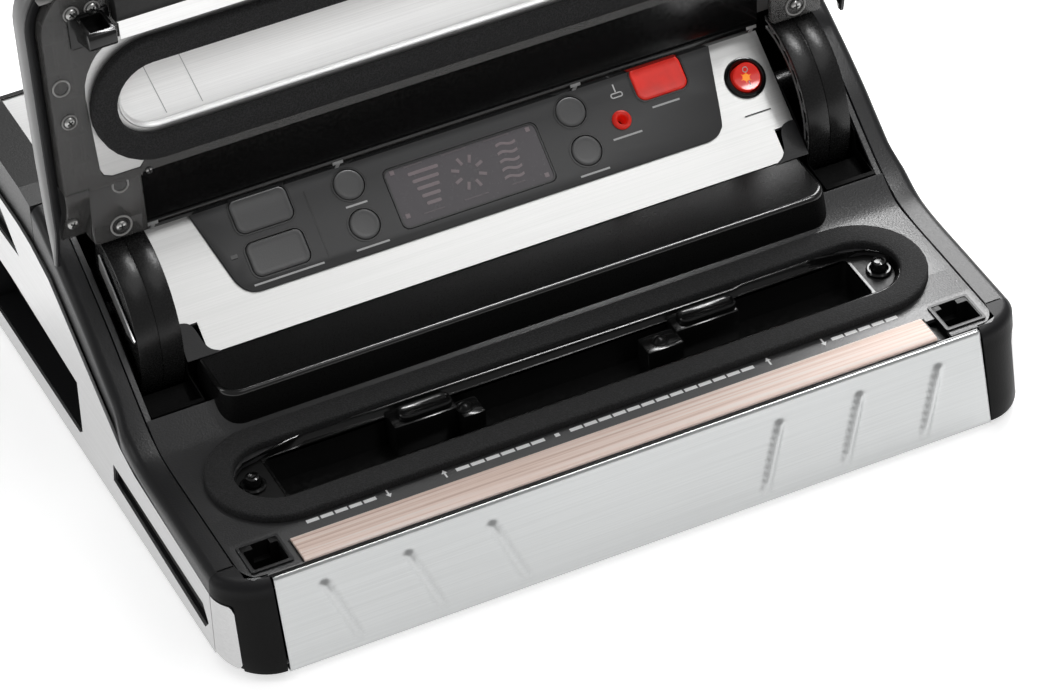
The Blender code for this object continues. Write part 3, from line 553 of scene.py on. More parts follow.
def sheet(line, thickness):
    """Outline of a bent sheet whose other face lies to the right of the line."""
    points = [Vector(p) for p in line]
    normals = []
    for a, b in zip(points, points[1:]):
        along = (b - a).normalized()
        normals.append(Vector((along.y, -along.x)))
    back = []
    for i, point in enumerate(points):
        first = normals[max(i - 1, 0)]
        second = normals[min(i, len(normals) - 1)]
        middle = (first + second).normalized()
        back.append(point + middle * (thickness / max(middle.dot(first), 0.5)))
    return [tuple(p) for p in points] + [tuple(p) for p in reversed(back)]


def span(side, near, far):
    return tuple(sorted((side * near, side * far)))


def box(name, x, y, z, place, mat, soft=0.0):
    corners = [(x[0], y[0]), (x[1], y[0]), (x[1], y[1]), (x[0], y[1])]
    return prism(name, corners, z[0], z[1], place, mat, soft)


def deck_hole(outline, mat):
    """A cutter that goes right through the flat deck."""
    return prism("hole", outline, -9, 9, deck, mat)


def panel_hole(outline, mat):
    """A cutter that goes right through anything on the sloping panel."""
    return prism("hole", outline, -3, 5, panel, mat)


# ---------------------------------------------------------------- camera and studio

def build_camera():
    """Long lens from the front left, well above, with a slight roll."""
    distance = 2.9
    azimuth = math.radians(23.63)
    elevation = math.radians(39.73)
    aim = Vector((-0.0771, -0.2129, 0.1914))
    away = Vector((-math.sin(azimuth) * math.cos(elevation), -math.cos(azimuth) * math.cos(elevation),
        math.sin(elevation)))
    data = bpy.data.cameras.new("camera")
    data.lens = 193.65
    data.sensor_width = 36
    data.clip_end = 20
    camera = bpy.data.objects.new("camera", data)
    bpy.context.scene.collection.objects.link(camera)
    turn = (-away).to_track_quat("-Z", "Y").to_matrix()
    roll = Matrix.Rotation(math.radians(-3.26), 3, "Z")
    camera.matrix_world = Matrix.Translation(aim + away * distance) @ (turn @ roll).to_4x4()
    bpy.context.scene.camera = camera


def area_light(name, place, aim, width, height, power, tint=(1, 1, 1)):
    data = bpy.data.lights.new(name, "AREA")
    data.shape = "RECTANGLE"
    data.size = width
    data.size_y = height
    data.energy = power
    data.color = tint
    lamp = bpy.data.objects.new(name, data)
    bpy.context.scene.collection.objects.link(lamp)
    lamp.location = place
    lamp.rotation_euler = (Vector(aim) - Vector(place)).to_track_quat("-Z", "Y").to_euler()
    return lamp


def build_studio():
    world = bpy.data.worlds.new("studio")
    world.use_nodes = True
    world.node_tree.nodes["Background"].inputs["Color"].default_value = (1, 1, 1, 1)
    world.node_tree.nodes["Background"].inputs["Strength"].default_value = 0.32
    bpy.context.scene.world = world
    bpy.context.scene.view_settings.view_transform = "Standard"
    middle = (0, 0, 0.1)
    area_light("overhead_softbox", (0.7, -0.95, 2.1), middle, 1.7, 1.2, 8.5)
    area_light("edge_strip", (0.75, 0.35, 2.3), middle, 1.8, 0.2, 46).visible_diffuse = False
    area_light("rear_right_softbox", (1.08, 1.25, 1.42), (0.22, -0.05, 0.06), 0.9, 1.05, 42)
    area_light("left_strip", (-2.0, 0.5, 1.2), middle, 0.4, 1.6, 6)
    form = bmesh.new()
    corners = [form.verts.new((x, y, -0.0004)) for x, y in ((-6, -6), (6, -6), (6, 6), (-6, 6))]
    form.faces.new(corners)
    floor_mat, _, _, shader = new_material("pale_floor")
    shader.inputs["Base Color"].default_value = (0.9, 0.9, 0.9, 1)
    shader.inputs["Roughness"].default_value = 0.9
    shader.inputs["Emission Color"].default_value = (1, 1, 1, 1)
    shader.inputs["Emission Strength"].default_value = 0.62
    finish_mesh("floor", form, [floor_mat])


# ---------------------------------------------------------------- housing

def rail_ring(side, y, top, low, outer, inner, radius):
    """Section of the black shell at one place along y: seam lip, top, rounded edge and side."""
    section = [(inner, top - 3.2), (inner, top - 0.6), (inner + 0.5, top)]
    section += [(outer - radius + radius * math.sin(a), top - radius + radius * math.cos(a))
                for a in [math.radians(t) for t in range(0, 91, 15)]]
    section += [(outer, (top + low) / 2 - 1), (outer, low + 0.5), (outer - 0.5, low), (outer - 2.2, low),
        (outer - 2.6, top - radius)]
    section += [(outer - radius, top - 3.2)]
    return [deck(side * x, y, z) for x, z in section]


def build_rails(mats):
    for name, side in SIDES.items():
        rings = []
        line = curve_through(CHEEK_LINE, 3)
        for y, top in line:
            outer = HALF_WIDTH - 2.5 * min(max((y - 126) / 14, 0), 1)
            rings.append(rail_ring(side, y, top, level_at(CREASE_LINE, y), outer, SEAM_X + 0.3, 5.5))
        piece(loft(f"shell_rail_{name}", rings, mats["black"]), HOUSING, "black_plastic", "top_shell")


def corner_spot(side, angle, inset, z):
    """A point on the rounded front corner, moved inwards, at an angle in radians from the side."""
    cx, cy = CORNER_CENTRE
    lean = FRONT_TOP_Y + z / -57 * (FRONT_FOOT_Y - FRONT_TOP_Y)
    rx = HALF_WIDTH - cx - inset
    ry = cy - lean - inset
    return deck(side * (cx + rx * math.cos(angle)), cy - ry * math.sin(angle), z)


def corner_ring(side, angle):
    """Upright section of the front corner, at an angle from the side (0) round to the front (90)."""
    cx, cy = CORNER_CENTRE
    a = math.radians(angle)

    def spot(inset, z):
        return corner_spot(side, a, inset, z)

    inner = deck(side * (cx + (SEAM_X + 0.3 - cx) * math.cos(a)), cy - 16.45 * math.sin(a), -3)
    lip = Vector((inner.x, inner.y, inner.z + 0.003))
    ring = [inner, lip]
    for turn in range(0, 91, 15):
        t = math.radians(turn)
        ring.append(spot(5.5 - 5.5 * math.sin(t), -5.5 + 5.5 * math.cos(t)))
    under = 1.3 if angle < 42 else 0
    ring += [spot(0, -13.6), spot(under, -14.2)] + [spot(under, z) for z in (-30, -45, -53)]
    ring += [spot(under + 0.6, -55.4), spot(under + 2.2, -56.4), spot(under + 2.8, -54),
        spot(under + 2.8, -30), spot(under + 3, -8)]
    return ring


def build_corners(mats):
    for name, side in SIDES.items():
        rings = [corner_ring(side, angle) for angle in [6 * i for i in range(7)] + [41.2,
            41.9] + [42 + 4.8 * i for i in range(11)]]
        corner = loft(f"shell_corner_{name}", rings, mats["corner"])
        piece(corner, HOUSING, "black_plastic")
    bar = prism("front_bar", [(-8.6, -0.4), (-8.6, -8), (-10.0, -8), (-10.0, -0.9), (-9.6, -0.4)],
        -PANEL_HALF, PANEL_HALF, along_x(deck), mats["gloss"])
    piece(bar, HOUSING, "black_plastic")


def bead_height(x, down, run):
    """How far the beads stand out at x, and at this share of the way down the front panel."""
    best = 0.0
    for top, bottom in BEADS:
        for side in (-1, 1):
            a = Vector((side * top, 0.2 * run))
            b = Vector((side * bottom, 0.9 * run))
            p = Vector((x, down * run))
            along = max(0, min(1, (p - a).dot(b - a) / (b - a).length_squared))
            away = (p - (a + (b - a) * along)).length
            reach = max(0.0, 1 - (away / BEAD_REACH) ** 2)
            best = max(best, BEAD_HEIGHT * reach * (0.55 + 0.45 * min(1, 6 * along * (1.0 - along) + 0.3)))
    return best


def build_front_panel(mats):
    top, foot = Vector((-12.6, -3.2)), Vector((FRONT_FOOT_Y, -53.4))
    run = (foot - top).length
    along = (foot - top).normalized()
    out = Vector((-abs(along.y), abs(along.x)))
    count = 46
    across = 282
    columns = [-PANEL_HALF + 2 * PANEL_HALF * i / across for i in range(across + 1)]
    rows = [(-10.35, -0.5), (-10.6, -0.1), (-11.2, -0.12), (-12.0, -0.9), (-12.35, -2.0)]
    tail = [(-25.35, -54.6), (-25.1, -55.6), (-24.4, -56.3), (-22.5, -56.6), (-18.4, -56.6)]
    form = bmesh.new()
    grid = []
    for x in columns:
        line = [form.verts.new(deck(x, y, z)) for y, z in rows]
        for k in range(count + 1):
            down = k / count
            spot = top + along * run * down + out * bead_height(x, down, run)
            line.append(form.verts.new(deck(x, spot.x, spot.y)))
        line += [form.verts.new(deck(x, y, z)) for y, z in tail]
        grid.append(line)
    for left, right in zip(grid, grid[1:]):
        for i in range(len(left) - 1):
            form.faces.new((left[i], left[i + 1], right[i + 1], right[i]))
    skin = finish_mesh("front_panel_skin", form, [mats["front_steel"]])
    thicken(skin, 0.0009)
    piece(skin, HOUSING, "steel", "front_panel")


def build_deck(mats):
    """The deck in front of the step: flat, then rising at its back towards the arm pockets."""
    profile = curve_through(FLANK_LINE, 4)
    deck_skin = prism("deck_skin", sheet(profile, 2.4), -SEAM_X + 0.2, SEAM_X - 0.2, along_x(deck),
        mats["deck"], 0.35)
    bake(deck_skin)
    mouth = trough_outline(0.3)
    cutters = [deck_hole(mouth, mats["deck"])]
    cutters.append(box("hole", (-193.4, 190.2), (-7.4, 12.0), (-9, 9), deck, mats["deck"]))
    cutters.append(box("hole", (190, 196.6), (-12, 9.5), (-9, 9), deck, mats["deck"]))
    for side in SIDES.values():
        cutters.append(box("hole", span(side, 196.6, 220), (-2.8, 18.6), (-9, 9), deck, mats["deck"]))
        outline = [(side * x, y) for x, y in ((214, -20), (240, -20), (240, 2), (227, 2), (227, -3),
            (222, -8))]
        cutters.append(deck_hole(outline, mats["deck"]))
        cutters.append(box("hole", span(side, 187.5, 240), (125.1, 160), (-9, 20), deck, mats["deck"]))
    cut(deck_skin, *cutters)
    piece(deck_skin, HOUSING, "black_plastic", "deck_panel")
    build_step(mats)
    build_flank_tails(mats)


def step_path(inset):
    """Plan line of the step's wall: up one end, along the front and back down the other, moved inwards."""
    half, front, radius = 188.4 - inset, 108.2 + inset, 13.5 - inset * 0.6
    line = [(-half, 148.2)]
    line += [(-half + radius + radius * math.cos(a), front + radius + radius * math.sin(a))
             for a in [math.radians(180 + 90 * i / 8) for i in range(9)]]
    line += [(half - radius + radius * math.cos(a), front + radius + radius * math.sin(a))
             for a in [math.radians(270 + 90 * i / 8) for i in range(9)]]
    return line + [(half, 148.2)]


def build_step(mats):
    """The step: a rounded foot, a leaning wall, a rounded lip and the flat ledge behind it."""
    profile = [(-0.6, -2), (-0.4, 0.15), (0.2, 0.45), (0.9, 1.2), (1.3, 2.2), (1.5, 3.4), (3.1, 19.9),
        (3.35, 21.0), (3.9, 21.8), (4.7, 22.2), (5.6, 22.3)]
    rings = [[deck(x, y, z) for x, y in step_path(inset)] for inset, z in profile]
    rings.append([deck(x, 148.2, LEDGE_Z) for x, y in step_path(8)])
    parts = []
    for rows, mat in ((rings[:7], mats["ledge"]), (rings[6:-1], mats["lip"]), (rings[-2:], mats["ledge"])):
        part = loft("step", rows, mat, closed=False, caps=False)
        thicken(part, 0.0012)
        parts.append(part)
    piece(merge("chamber_step", parts), HOUSING, "black_plastic")


def build_flank_tails(mats):
    """Strips of the deck that climb beside the arm pockets, on their outer side."""
    places = (125.4, 134, 145, 157, 169, 186, 203, 222, CRACK_Y - 1.2)
    outer = [(y, level_at(CHEEK_LINE, y) - 0.3) for y in places]
    for name, side in SIDES.items():
        tail = prism(f"flank_tail_{name}", sheet(curve_through(outer, 3), 2.2),
            *span(side, POCKET_X[1] + 0.3, SEAM_X - 0.2), along_x(deck), mats["deck"], 0.3)
        piece(tail, HOUSING, "black_plastic")


# ---------------------------------------------------------------- chamber

def trough_outline(out):
    """Plan outline of the chamber's mouth: a long opening with rounded ends and a stepped rear edge."""
    front, back = 44.4 - out, 86.0 + out
    line = arc(181.0, front + 19, 19 + out * 0.5, -90, 62, 8)
    line += [(160 + out, back + 1.2), (156, back), (116, back), (110, back - 1.6), (-108, back - 0.2),
        (-114, back + 0.6)]
    line += [(-151, back + 1.6), (-156, back), (-162, back - 1.2)]
    line += arc(-181.0, front + 19, 19 + out * 0.5, 118, 270, 8)
    return line


def build_trough(mats):
    rings = []
    for out, z in ((2.2, 0.2), (2.2, 0.8), (1.7, 1.25), (0.5, 1.3), (0.0, 1.0), (-0.3, 0.2), (-1.4, -2.2),
            (-2.2, -3.0)):
        rings.append([deck(x, y, z) for x, y in trough_outline(out)])
    rim = loft("chamber_rim", rings, mats["gloss"], caps=False)
    tub = box("tub", (-178.5, 180.0), (46.6, 82.6), (-23, -2.6), deck, mats["gloss"])
    hollow = prism("hollow", rounded(0.75, 64.6, 355.5, 34.4, 3.5), -22, 5, deck, mats["gloss"])
    cut(tub, hollow)
    shelf = prism("shelf", trough_outline(-1.6), -4.6, -3.0, deck, mats["well"])
    cut(shelf, prism("hollow", rounded(0.75, 64.6, 355.5, 34.4, 3.5), -30, 5, deck, mats["gloss"]))
    parts = [rim, tub, shelf]
    for side in (-1, 1):
        parts += end_boss(side, mats)
    for block_x, boss_x, dome in (((-104.5, -66), (-67, -53.5), (-63.2, 68.0)),
            ((66.5, 106), (45, 67.5), (55.4, 67.6))):
        parts += plunger_block(block_x, boss_x, dome, mats)
    chamber = merge("chamber_tub", parts)
    piece(chamber, HOUSING, "gloss_black", "vacuum_trough")
    for name, x in (("left", (-99.5, -67.5)), ("right", (71, 106.2))):
        pad = bag_stop(name, x, mats)
        piece(pad, HOUSING, "gloss_black", f"bag_stop_{name}")


def turned_rings(spot, profile, place, steps):
    """Circles about one spot, for a profile of (radius, height) points."""
    return [[place(x, y, z) for x, y in circle(*spot, radius, steps)] for radius, z in profile]


def turned(name, spot, profile, place, mat, steps=28):
    """A round solid, closed at both ends of its profile."""
    return loft(name, turned_rings(spot, profile, place, steps), mat)


def end_boss(side, mats):
    spot = (side * 190.6, 64.4)
    collar = turned("collar", spot, [(7.4, -3.1), (7.4, -1.6), (6.6, -0.8), (5.6, -0.8), (5.4, -1.6),
        (5.2, -2.9)], deck, mats["gloss"])
    post = turned("post", spot, [(4.6, -3), (4.4, 3.2), (3.9, 4.2), (2.9, 4.6), (2.6, 3.6), (0.4, 3.2)],
        deck, mats["gloss"])
    return [collar, post]


def plunger_block(block_x, boss_x, dome, mats):
    """A squared block under a bag stop, with a lower step beside it that carries a domed plunger."""
    block = box("block", block_x, (69.2, 86.2), (-22.5, -1.2), deck, mats["gloss"], 1.6)
    step = box("step", boss_x, (60.8, 75.5), (-22.5, -2.4), deck, mats["gloss"], 1.4)
    profile = [(4.7, -2.6), (4.7, -1.9), (4.1, -1.5), (3.6, -1.7), (3.3, -1.4), (2.7, -0.4), (1.6, 0.3),
        (0.3, 0.5)]
    plunger = turned("plunger", dome, profile, deck, mats["ledge"])
    return [block, step, plunger]


def bag_stop(name, x, mats):
    """Low pad with a dished top that the end of a bag is pushed against."""
    mid = (x[0] + x[1]) / 2
    width = x[1] - x[0]
    rings = []
    for shrink, z in ((0, -0.8), (0, 1.0), (0.5, 2.0), (1.5, 2.5), (3.2, 2.5), (4.0, 2.0), (5.0, 1.7)):
        outline = rounded(mid, 76.4, width - shrink, 11.5 - shrink, 4.6 - shrink * 0.45)
        rings.append([deck(a, b, z) for a, b in outline])
    return loft(f"bag_stop_pad_{name}", rings, mats["gloss"])


def gasket_rings(place, base, top, bend, centre_y, outer, inner):
    """Sections round a foam ring, from its outer foot over the top to its inner foot."""
    sign = 1 if top > base else -1
    steps = [(0, base), (0, top - 1.6 * sign), (0.5, top - 0.6 * sign), (1.5, top)]
    width = outer - inner
    steps += [(width - 1.5, top), (width - 0.5, top - 0.6 * sign), (width, top - 1.6 * sign), (width, base)]
    return [[place(x, y, z) for x, y in stadium(bend, centre_y, outer - inset)] for inset, z in steps]


def ring_piece(name, rings, mat):
    """A closed ring: the last section is joined back to the first."""
    return loft(name, rings + [rings[0]], mat, caps=False)


def build_gasket(mats):
    rings = gasket_rings(deck, 0.3, 5.3, GASKET_BEND, GASKET_Y, GASKET_OUTER, GASKET_INNER)
    gasket = ring_piece("lower_gasket_foam", rings, mats["foam"])
    piece(gasket, HOUSING, "foam", "lower_gasket")


def build_seal(mats):
    tape = [(-7.7, -0.4), (-7.7, 1.0), (-6.6, 1.75), (-3, 1.9), (2, 1.95), (7, 1.9), (11.1, 1.75),
        (12.2, 1.0), (12.2, -0.4)]
    strip = prism("seal_tape_strip", tape, -191.9, 188.1, along_x(deck), mats["tape"], 0.3)
    piece(strip, HOUSING, "ptfe_cloth", "seal_strip")
    # the bed under the strip and the well at its end are near black as painted shade in the gap round the
    # strip
    bed = box("seal_bed", (-193.2, 190.0), (-8.4, 12.9), (-6, -0.6), deck, mats["dark_gap"])
    piece(bed, HOUSING, "black_plastic")
    gap = box("seal_end_well", (190, 196.4), (-8.4, 9.4), (-8, -5), deck, mats["dark_gap"])
    piece(gap, HOUSING, "black_plastic")


def build_sockets(mats):
    for name, side in SIDES.items():
        x0, x1 = 196.6, 220.2
        mid = side * (x0 + x1) / 2
        tub = box(f"socket_tub_{name}", span(side, x0, x1), (-3.4, 18.9), (-16.6, 0.9), deck,
            mats["well"], 0.5)
        bake(tub)
        inside = prism("inside", rounded(mid, 6.2, 20.2, 15.6, 1.0), -15.2, 9, deck, mats["gloss"])
        notch = box("notch", span(side, 202.4, 212.6), (13, 17.6), (-9, 9), deck, mats["gloss"])
        cut(tub, inside, notch)
        piece(tub, HOUSING, "gloss_black", f"latch_socket_{name}")
        frame_line = prism(f"socket_rim_{name}", rounded(mid, 7.75, 24.6, 23.4, 1.2), 0.2, 1.15, deck,
            mats["black"])
        opening = prism("opening", rounded(mid, 7.6, 21.6, 20.4, 0.8), -3, 4, deck, mats["black"])
        cut(frame_line, opening)
        piece(frame_line, HOUSING, "black_plastic")


# ---------------------------------------------------------------- control panel

def key_outline(name, more=0.0):
    if name in KEYS_ROUND:
        return circle(*KEYS_ROUND[name], KEY_RADIUS + more, 40)
    x, s, width, depth = KEYS_WIDE[name]
    return rounded(x, s, width + 2 * more, depth + 2 * more, 4.8 + more, 8)


def build_controls(mats):
    left = [(-161.5, 84), (-155.2, 58), (-150.0, 37), (-148.2, 32), (-145.4, 28), (-141.5, 25.4),
        (-137, 24.4)]
    right = [(138, 24.4), (143.4, 25.6), (147.4, 28.6), (150.0, 33.6), (155.6, 58), (161.5, 84)]
    fascia = prism("fascia_film", curve_through(left, 3) + curve_through(right, 3), 0.5, FILM_TOP, panel,
        mats["fascia"], 0.25)
    names = list(KEYS_ROUND) + list(KEYS_WIDE)
    cutters = [panel_hole(key_outline(name, 0.45), mats["fascia"]) for name in names]
    cutters.append(panel_hole(rounded(*DISPLAY[:2], DISPLAY[2] + 0.8, DISPLAY[3] + 0.8, 4), mats["fascia"]))
    cutters.append(panel_hole(circle(*PORT, 4.2), mats["fascia"]))
    cutters.append(panel_hole(rounded(*INDICATOR, 4.4, 2.8, 0.5), mats["fascia"]))
    bake(fascia)
    cut(fascia, *cutters)
    piece(fascia, HOUSING, "fascia", "control_fascia")
    surrounds = []
    for name in names:
        ring = prism("surround", key_outline(name, 1.5), FILM_TOP + 0.03, FILM_TOP + 0.3, panel,
            mats["outline"])
        surrounds.append(cut(ring, panel_hole(key_outline(name, 0.45), mats["outline"])))
        build_key(name, mats)
    window_edge = prism("surround", rounded(*DISPLAY, 4.4), FILM_TOP + 0.03, FILM_TOP + 0.3, panel,
        mats["outline"])
    surrounds.append(cut(window_edge,
        panel_hole(rounded(*DISPLAY[:2], DISPLAY[2] - 2.0, DISPLAY[3] - 2.0, 3.2), mats["outline"])))
    groove = box("groove", (-94.5, -93.6), (29.5, 70), (FILM_TOP + 0.02, FILM_TOP + 0.14), panel,
        mats["outline"])
    piece(merge("key_surrounds", surrounds + [groove]), HOUSING, "black_plastic")
    build_display(mats)
    build_prints(mats)
    build_port_and_switch(mats)
    build_plate_corners(mats)


def build_key(name, mats):
    red = name == "cancel_button"
    steps = [(0, -3.4), (0, 1.45), (0.25, 1.85), (0.8, 2.1), (1.6, 2.12), (2.4, 1.98), (3.4, 1.92)]
    rings = [[panel(x, s, h) for x, s in key_outline(name, -inset)] for inset, h in steps]
    piece(loft(f"{name}_cap", rings, mats["red" if red else "key"]), name,
        "red_plastic" if red else "key_plastic", name)


def build_display(mats):
    x, s, width, depth = DISPLAY
    glass = prism("display_glass_pane", rounded(x, s, width, depth, 3.6), -2.4, 1.42, panel,
        mats["window"], 0.2)
    piece(glass, HOUSING, "display_glass", "display_window")
    low, high = 1.46, 1.56
    parts = []
    for i in range(5):
        width = 18.5 - 2.4 * i
        parts.append(prism("bar", rounded(-25.2 - 0.15 * i, 60.4 - 4.7 * i, width, 2.0, 0.9), low, high,
            panel, mats["segment"]))
    for i in range(8):
        turn = math.radians(22.5 + 45 * i)
        c, t = math.cos(turn), math.sin(turn)
        outline = [(-0.6 + c * r - t * w, 51.0 + t * r + c * w) for r,
            w in ((5.6, -0.9), (10.2, -0.9), (10.2, 0.9), (5.6, 0.9))]
        parts.append(prism("ray", outline, low, high, panel, mats["segment"]))
    for i in range(5):
        line = [(25.4 - 0.5 * i - 6 + 0.6 * k, 60.2 - 4.8 * i + 0.75 * math.sin(k * math.pi / 10))
            for k in range(21)]
        outline = [(a, b + 0.8) for a, b in line] + [(a, b - 0.8) for a, b in reversed(line)]
        parts.append(prism("wave", outline, low, high, panel, mats["segment"]))
    for a, b in ((-43.2, 38.2), (-42.6, 64.2), (40.6, 63.8), (41.2, 35.6)):
        parts.append(box("corner", (a - 1.3, a + 1.3), (b - 1.3, b + 1.3), (low, high), panel,
            mats["segment"]))
    for a, b, length in ((-29.6, 65.0, 11), (-4.6, 65.0, 15), (21.4, 65.0, 16), (-27.6, 36.6, 13),
            (-1.8, 36.6, 15), (24.2, 36.6, 8)):
        parts.append(box("dash", (a - length / 2, a + length / 2), (b - 0.35, b + 0.35), (low, high),
            panel, mats["segment_dim"]))
    piece(merge("display_marks", parts), HOUSING, "display_glass")


def build_prints(mats):
    """Plain dashes where names are printed, and a small icon above the hose port."""
    low, high = FILM_TOP + 0.02, FILM_TOP + 0.1
    parts = []
    rows = [(-68.3, 53.6, 13), (-68.3, 28.6, 20), (-119, 28.2, 42), (68.3, 28.2, 18), (94.5, 42.4, 18),
        (123, 53.2, 17)]
    for x, s, length in rows:
        parts.append(box("dash", (x - length / 2, x + length / 2), (s - 0.55, s + 0.55), (low, high),
            panel, mats["print"]))
    jar = rounded(97.5, 66.5, 7.5, 3.2, 1.5)
    ring = prism("jar", jar, low, high, panel, mats["print"])
    parts.append(cut(ring, panel_hole(rounded(97.5, 66.5, 6.1, 1.8, 0.8), mats["print"])))
    parts.append(box("stem", (97.1, 97.9), (68.3, 73), (low, high), panel, mats["print"]))
    piece(merge("fascia_marks", parts), HOUSING, "fascia")
    mark = box("switch_mark", (164, 180.5), (31.2, 31.9), (0.47, 0.53), panel, mats["outline"])
    piece(mark, HOUSING, "black_plastic")


def on_panel(x0, s0):
    return lambda a, b, h: panel(x0 + a, s0 + b, h)


def build_port_and_switch(mats):
    ring = [(2.7, -8), (2.7, 2.6), (3.0, 3.3), (3.8, 3.75), (4.8, 3.5), (5.5, 2.8), (5.7, 1.8),
        (3.85, 1.8), (3.85, -8)]
    at = on_panel(*PORT)
    rings = turned_rings((0, 0), ring, at, 36)
    piece(ring_piece("port_grommet", rings, mats["red"]), HOUSING, "red_plastic", "accessory_port")
    # the port's floor is near black as painted shade down the hole
    floor = turned("port_floor", PORT, [(3.6, -9), (3.6, -8.2)], panel, mats["dark_gap"])
    piece(floor, HOUSING, "black_plastic")
    ring = [(9.1, -12), (9.1, 1.9), (9.5, 2.6), (10.2, 2.9), (11.3, 2.6), (12.0, 1.7), (12.3, 0.45),
        (10.0, 0.45), (10.0, -12)]
    at = on_panel(*ROCKER)
    rings = turned_rings((0, 0), ring, at, 48)
    piece(ring_piece("switch_collar", rings, mats["gloss"]), HOUSING, "gloss_black", "switch_bezel")
    build_rocker(at, mats)


def build_rocker(at, mats):
    """Round rocker, tilted to one side and hollowed across the middle, with a glow and its two marks."""
    tilt = Matrix.Rotation(math.radians(7), 3, "X")

    def face(x, s, lift=0.0):
        rise = 3.55 + 0.024 * s * s + lift
        p = tilt @ Vector((x, s, rise))
        return at(p.x, p.y, p.z)

    form = bmesh.new()
    count = 40
    rows = []
    for radius in (8.15, 7.6, 6.4, 4.8, 3.2, 1.6):
        rows.append([form.verts.new(face(*p, -0.5 if radius > 8 else 0))
            for p in circle(0, 0, radius, count)])
    skirt = []
    for x, s in circle(0, 0, 8.15, count):
        p = tilt @ Vector((x, s, -2.6))
        skirt.append(form.verts.new(at(p.x, p.y, p.z)))
    rows = [skirt] + rows
    for low, high in zip(rows, rows[1:]):
        for i in range(count):
            form.faces.new((low[i], low[(i + 1) % count], high[(i + 1) % count], high[i]))
    form.faces.new(rows[-1])
    form.faces.new(skirt[::-1])
    body = finish_mesh("rocker_cap", form, [mats["lit_red"]])
    piece(body, "power_rocker", "red_lens", "power_rocker")

    glow = prism("rocker_glow", circle(-0.6, -0.2, 2.1, 20), 0.03, 0.08, face, mats["amber"])
    star = []
    for i in range(6):
        turn = math.radians(15 + 60 * i)
        c, t = math.cos(turn), math.sin(turn)
        outline = [(-0.6 + c * r - t * w, -0.2 + t * r + c * w) for r,
            w in ((1.6, -0.5), (3.6, 0.0), (1.6, 0.5))]
        star.append(prism("beam", outline, 0.035, 0.075, face, mats["amber"]))
    zero = prism("zero", circle(0.2, 4.2, 1.7, 20), 0.04, 0.1, face, mats["print"])
    zero = cut(zero, prism("hole", circle(0.2, 4.2, 1.25, 20), -3, 5, face, mats["print"]))
    one = box("one", (0.0, 0.45), (-5.6, -2.6), (0.04, 0.1), face, mats["print"])
    piece(merge("rocker_marks", [glow, zero, one] + star), "power_rocker", "red_lens")


def build_plate_corners(mats):
    """Black shoulders with an S-shaped edge in the plate's two front corners."""
    line = [(191.0, -0.4), (191.0, 21.2), (187.4, 21.4), (183.6, 20.4), (181.0, 17.4), (179.6, 12.6),
        (178.4, 7.0), (176.0, 3.0), (172.6, 0.9), (170.2, -0.4)]
    for name, side in SIDES.items():
        outline = [(side * x, s) for x, s in line[:2]] + [(side * x, s) for x,
            s in curve_through(line[2:], 3)]
        piece(prism(f"plate_shoulder_{name}", outline, 0.47, 0.82, panel, mats["black"], 0.12), HOUSING,
            "black_plastic")


# ---------------------------------------------------------------- deck markings

def build_deck_marks(mats):
    """Dashes and arrows in front of the gasket, in place of the printed advice."""
    low, high = 0.02, 0.1
    parts = []
    for start, end in ((-179, -137), (-91, -37), (-32, -28), (-23, 90), (137, 179)):
        count = max(1, round((end - start) / 9))
        step = (end - start) / count
        for i in range(count):
            x = start + i * step
            parts.append(box("dash", (x + 0.6, x + step - 0.6), (19.6, 22.2), (low, high), deck,
                mats["deck_print"]))
    for x, way in ((-130.4, -1), (132.4, -1), (-97.0, 1), (98.6, 1)):
        y = 21.0
        head = [(x - 1.7, y + way * 0.4), (x, y + way * 3.2), (x + 1.7, y + way * 0.4)]
        parts.append(prism("head", head, low, high, deck, mats["deck_print"]))
        parts.append(box("shaft", (x - 0.5, x + 0.5), tuple(sorted((y - way * 3.2, y + way * 0.39))),
            (low, high), deck, mats["deck_print"]))
    piece(merge("deck_marks", parts), HOUSING, "black_plastic")


# ---------------------------------------------------------------- sides

def build_side_wraps(mats):
    """The front end of each steel side, bent round the corner."""
    last = 14
    for name, side in SIDES.items():
        rings = []
        for i in range(last + 1):
            a = math.radians(WRAP_ANGLE * i / last)
            top = -15.0 - (4.0 if i == last else 1.2 if i == last - 1 else 0)
            foot = -54.6 + (3.0 if i == last else 0.9 if i == last - 1 else 0)
            ring = []
            for inset, z in ((0.15, top), (0.15, -35), (0.15, foot), (0.95, foot), (0.95, -35),
                    (0.95, top)):
                ring.append(corner_spot(side, a, inset, z))
            rings.append(ring)
        piece(loft(f"side_wrap_{name}", rings, mats["side_steel"]), HOUSING, "steel")


def build_louvres(mats):
    for name, side in SIDES.items():
        parts = []
        for k in range(4):
            z = -43.6 + 3.5 * k
            slats = [(22, z - 0.2), (141, z + 3.1), (141, z + 4.3), (22, z + 1.0)]
            parts.append(prism("slat", slats, *span(side, CHEEK_HALF - 5.2, CHEEK_HALF - 1.2),
                along_x(deck), mats["slat"], 0.3))
        piece(merge(f"vent_louvres_{name}", parts), HOUSING, "black_plastic")


# ---------------------------------------------------------------- arms

def arm_band(outer, inner, start, end, steps):
    """Outline of a curved strip about the hinge, between two radii."""
    return arc(*HINGE_YZ, outer, start, end, steps) + arc(*HINGE_YZ, inner, end, start, steps)


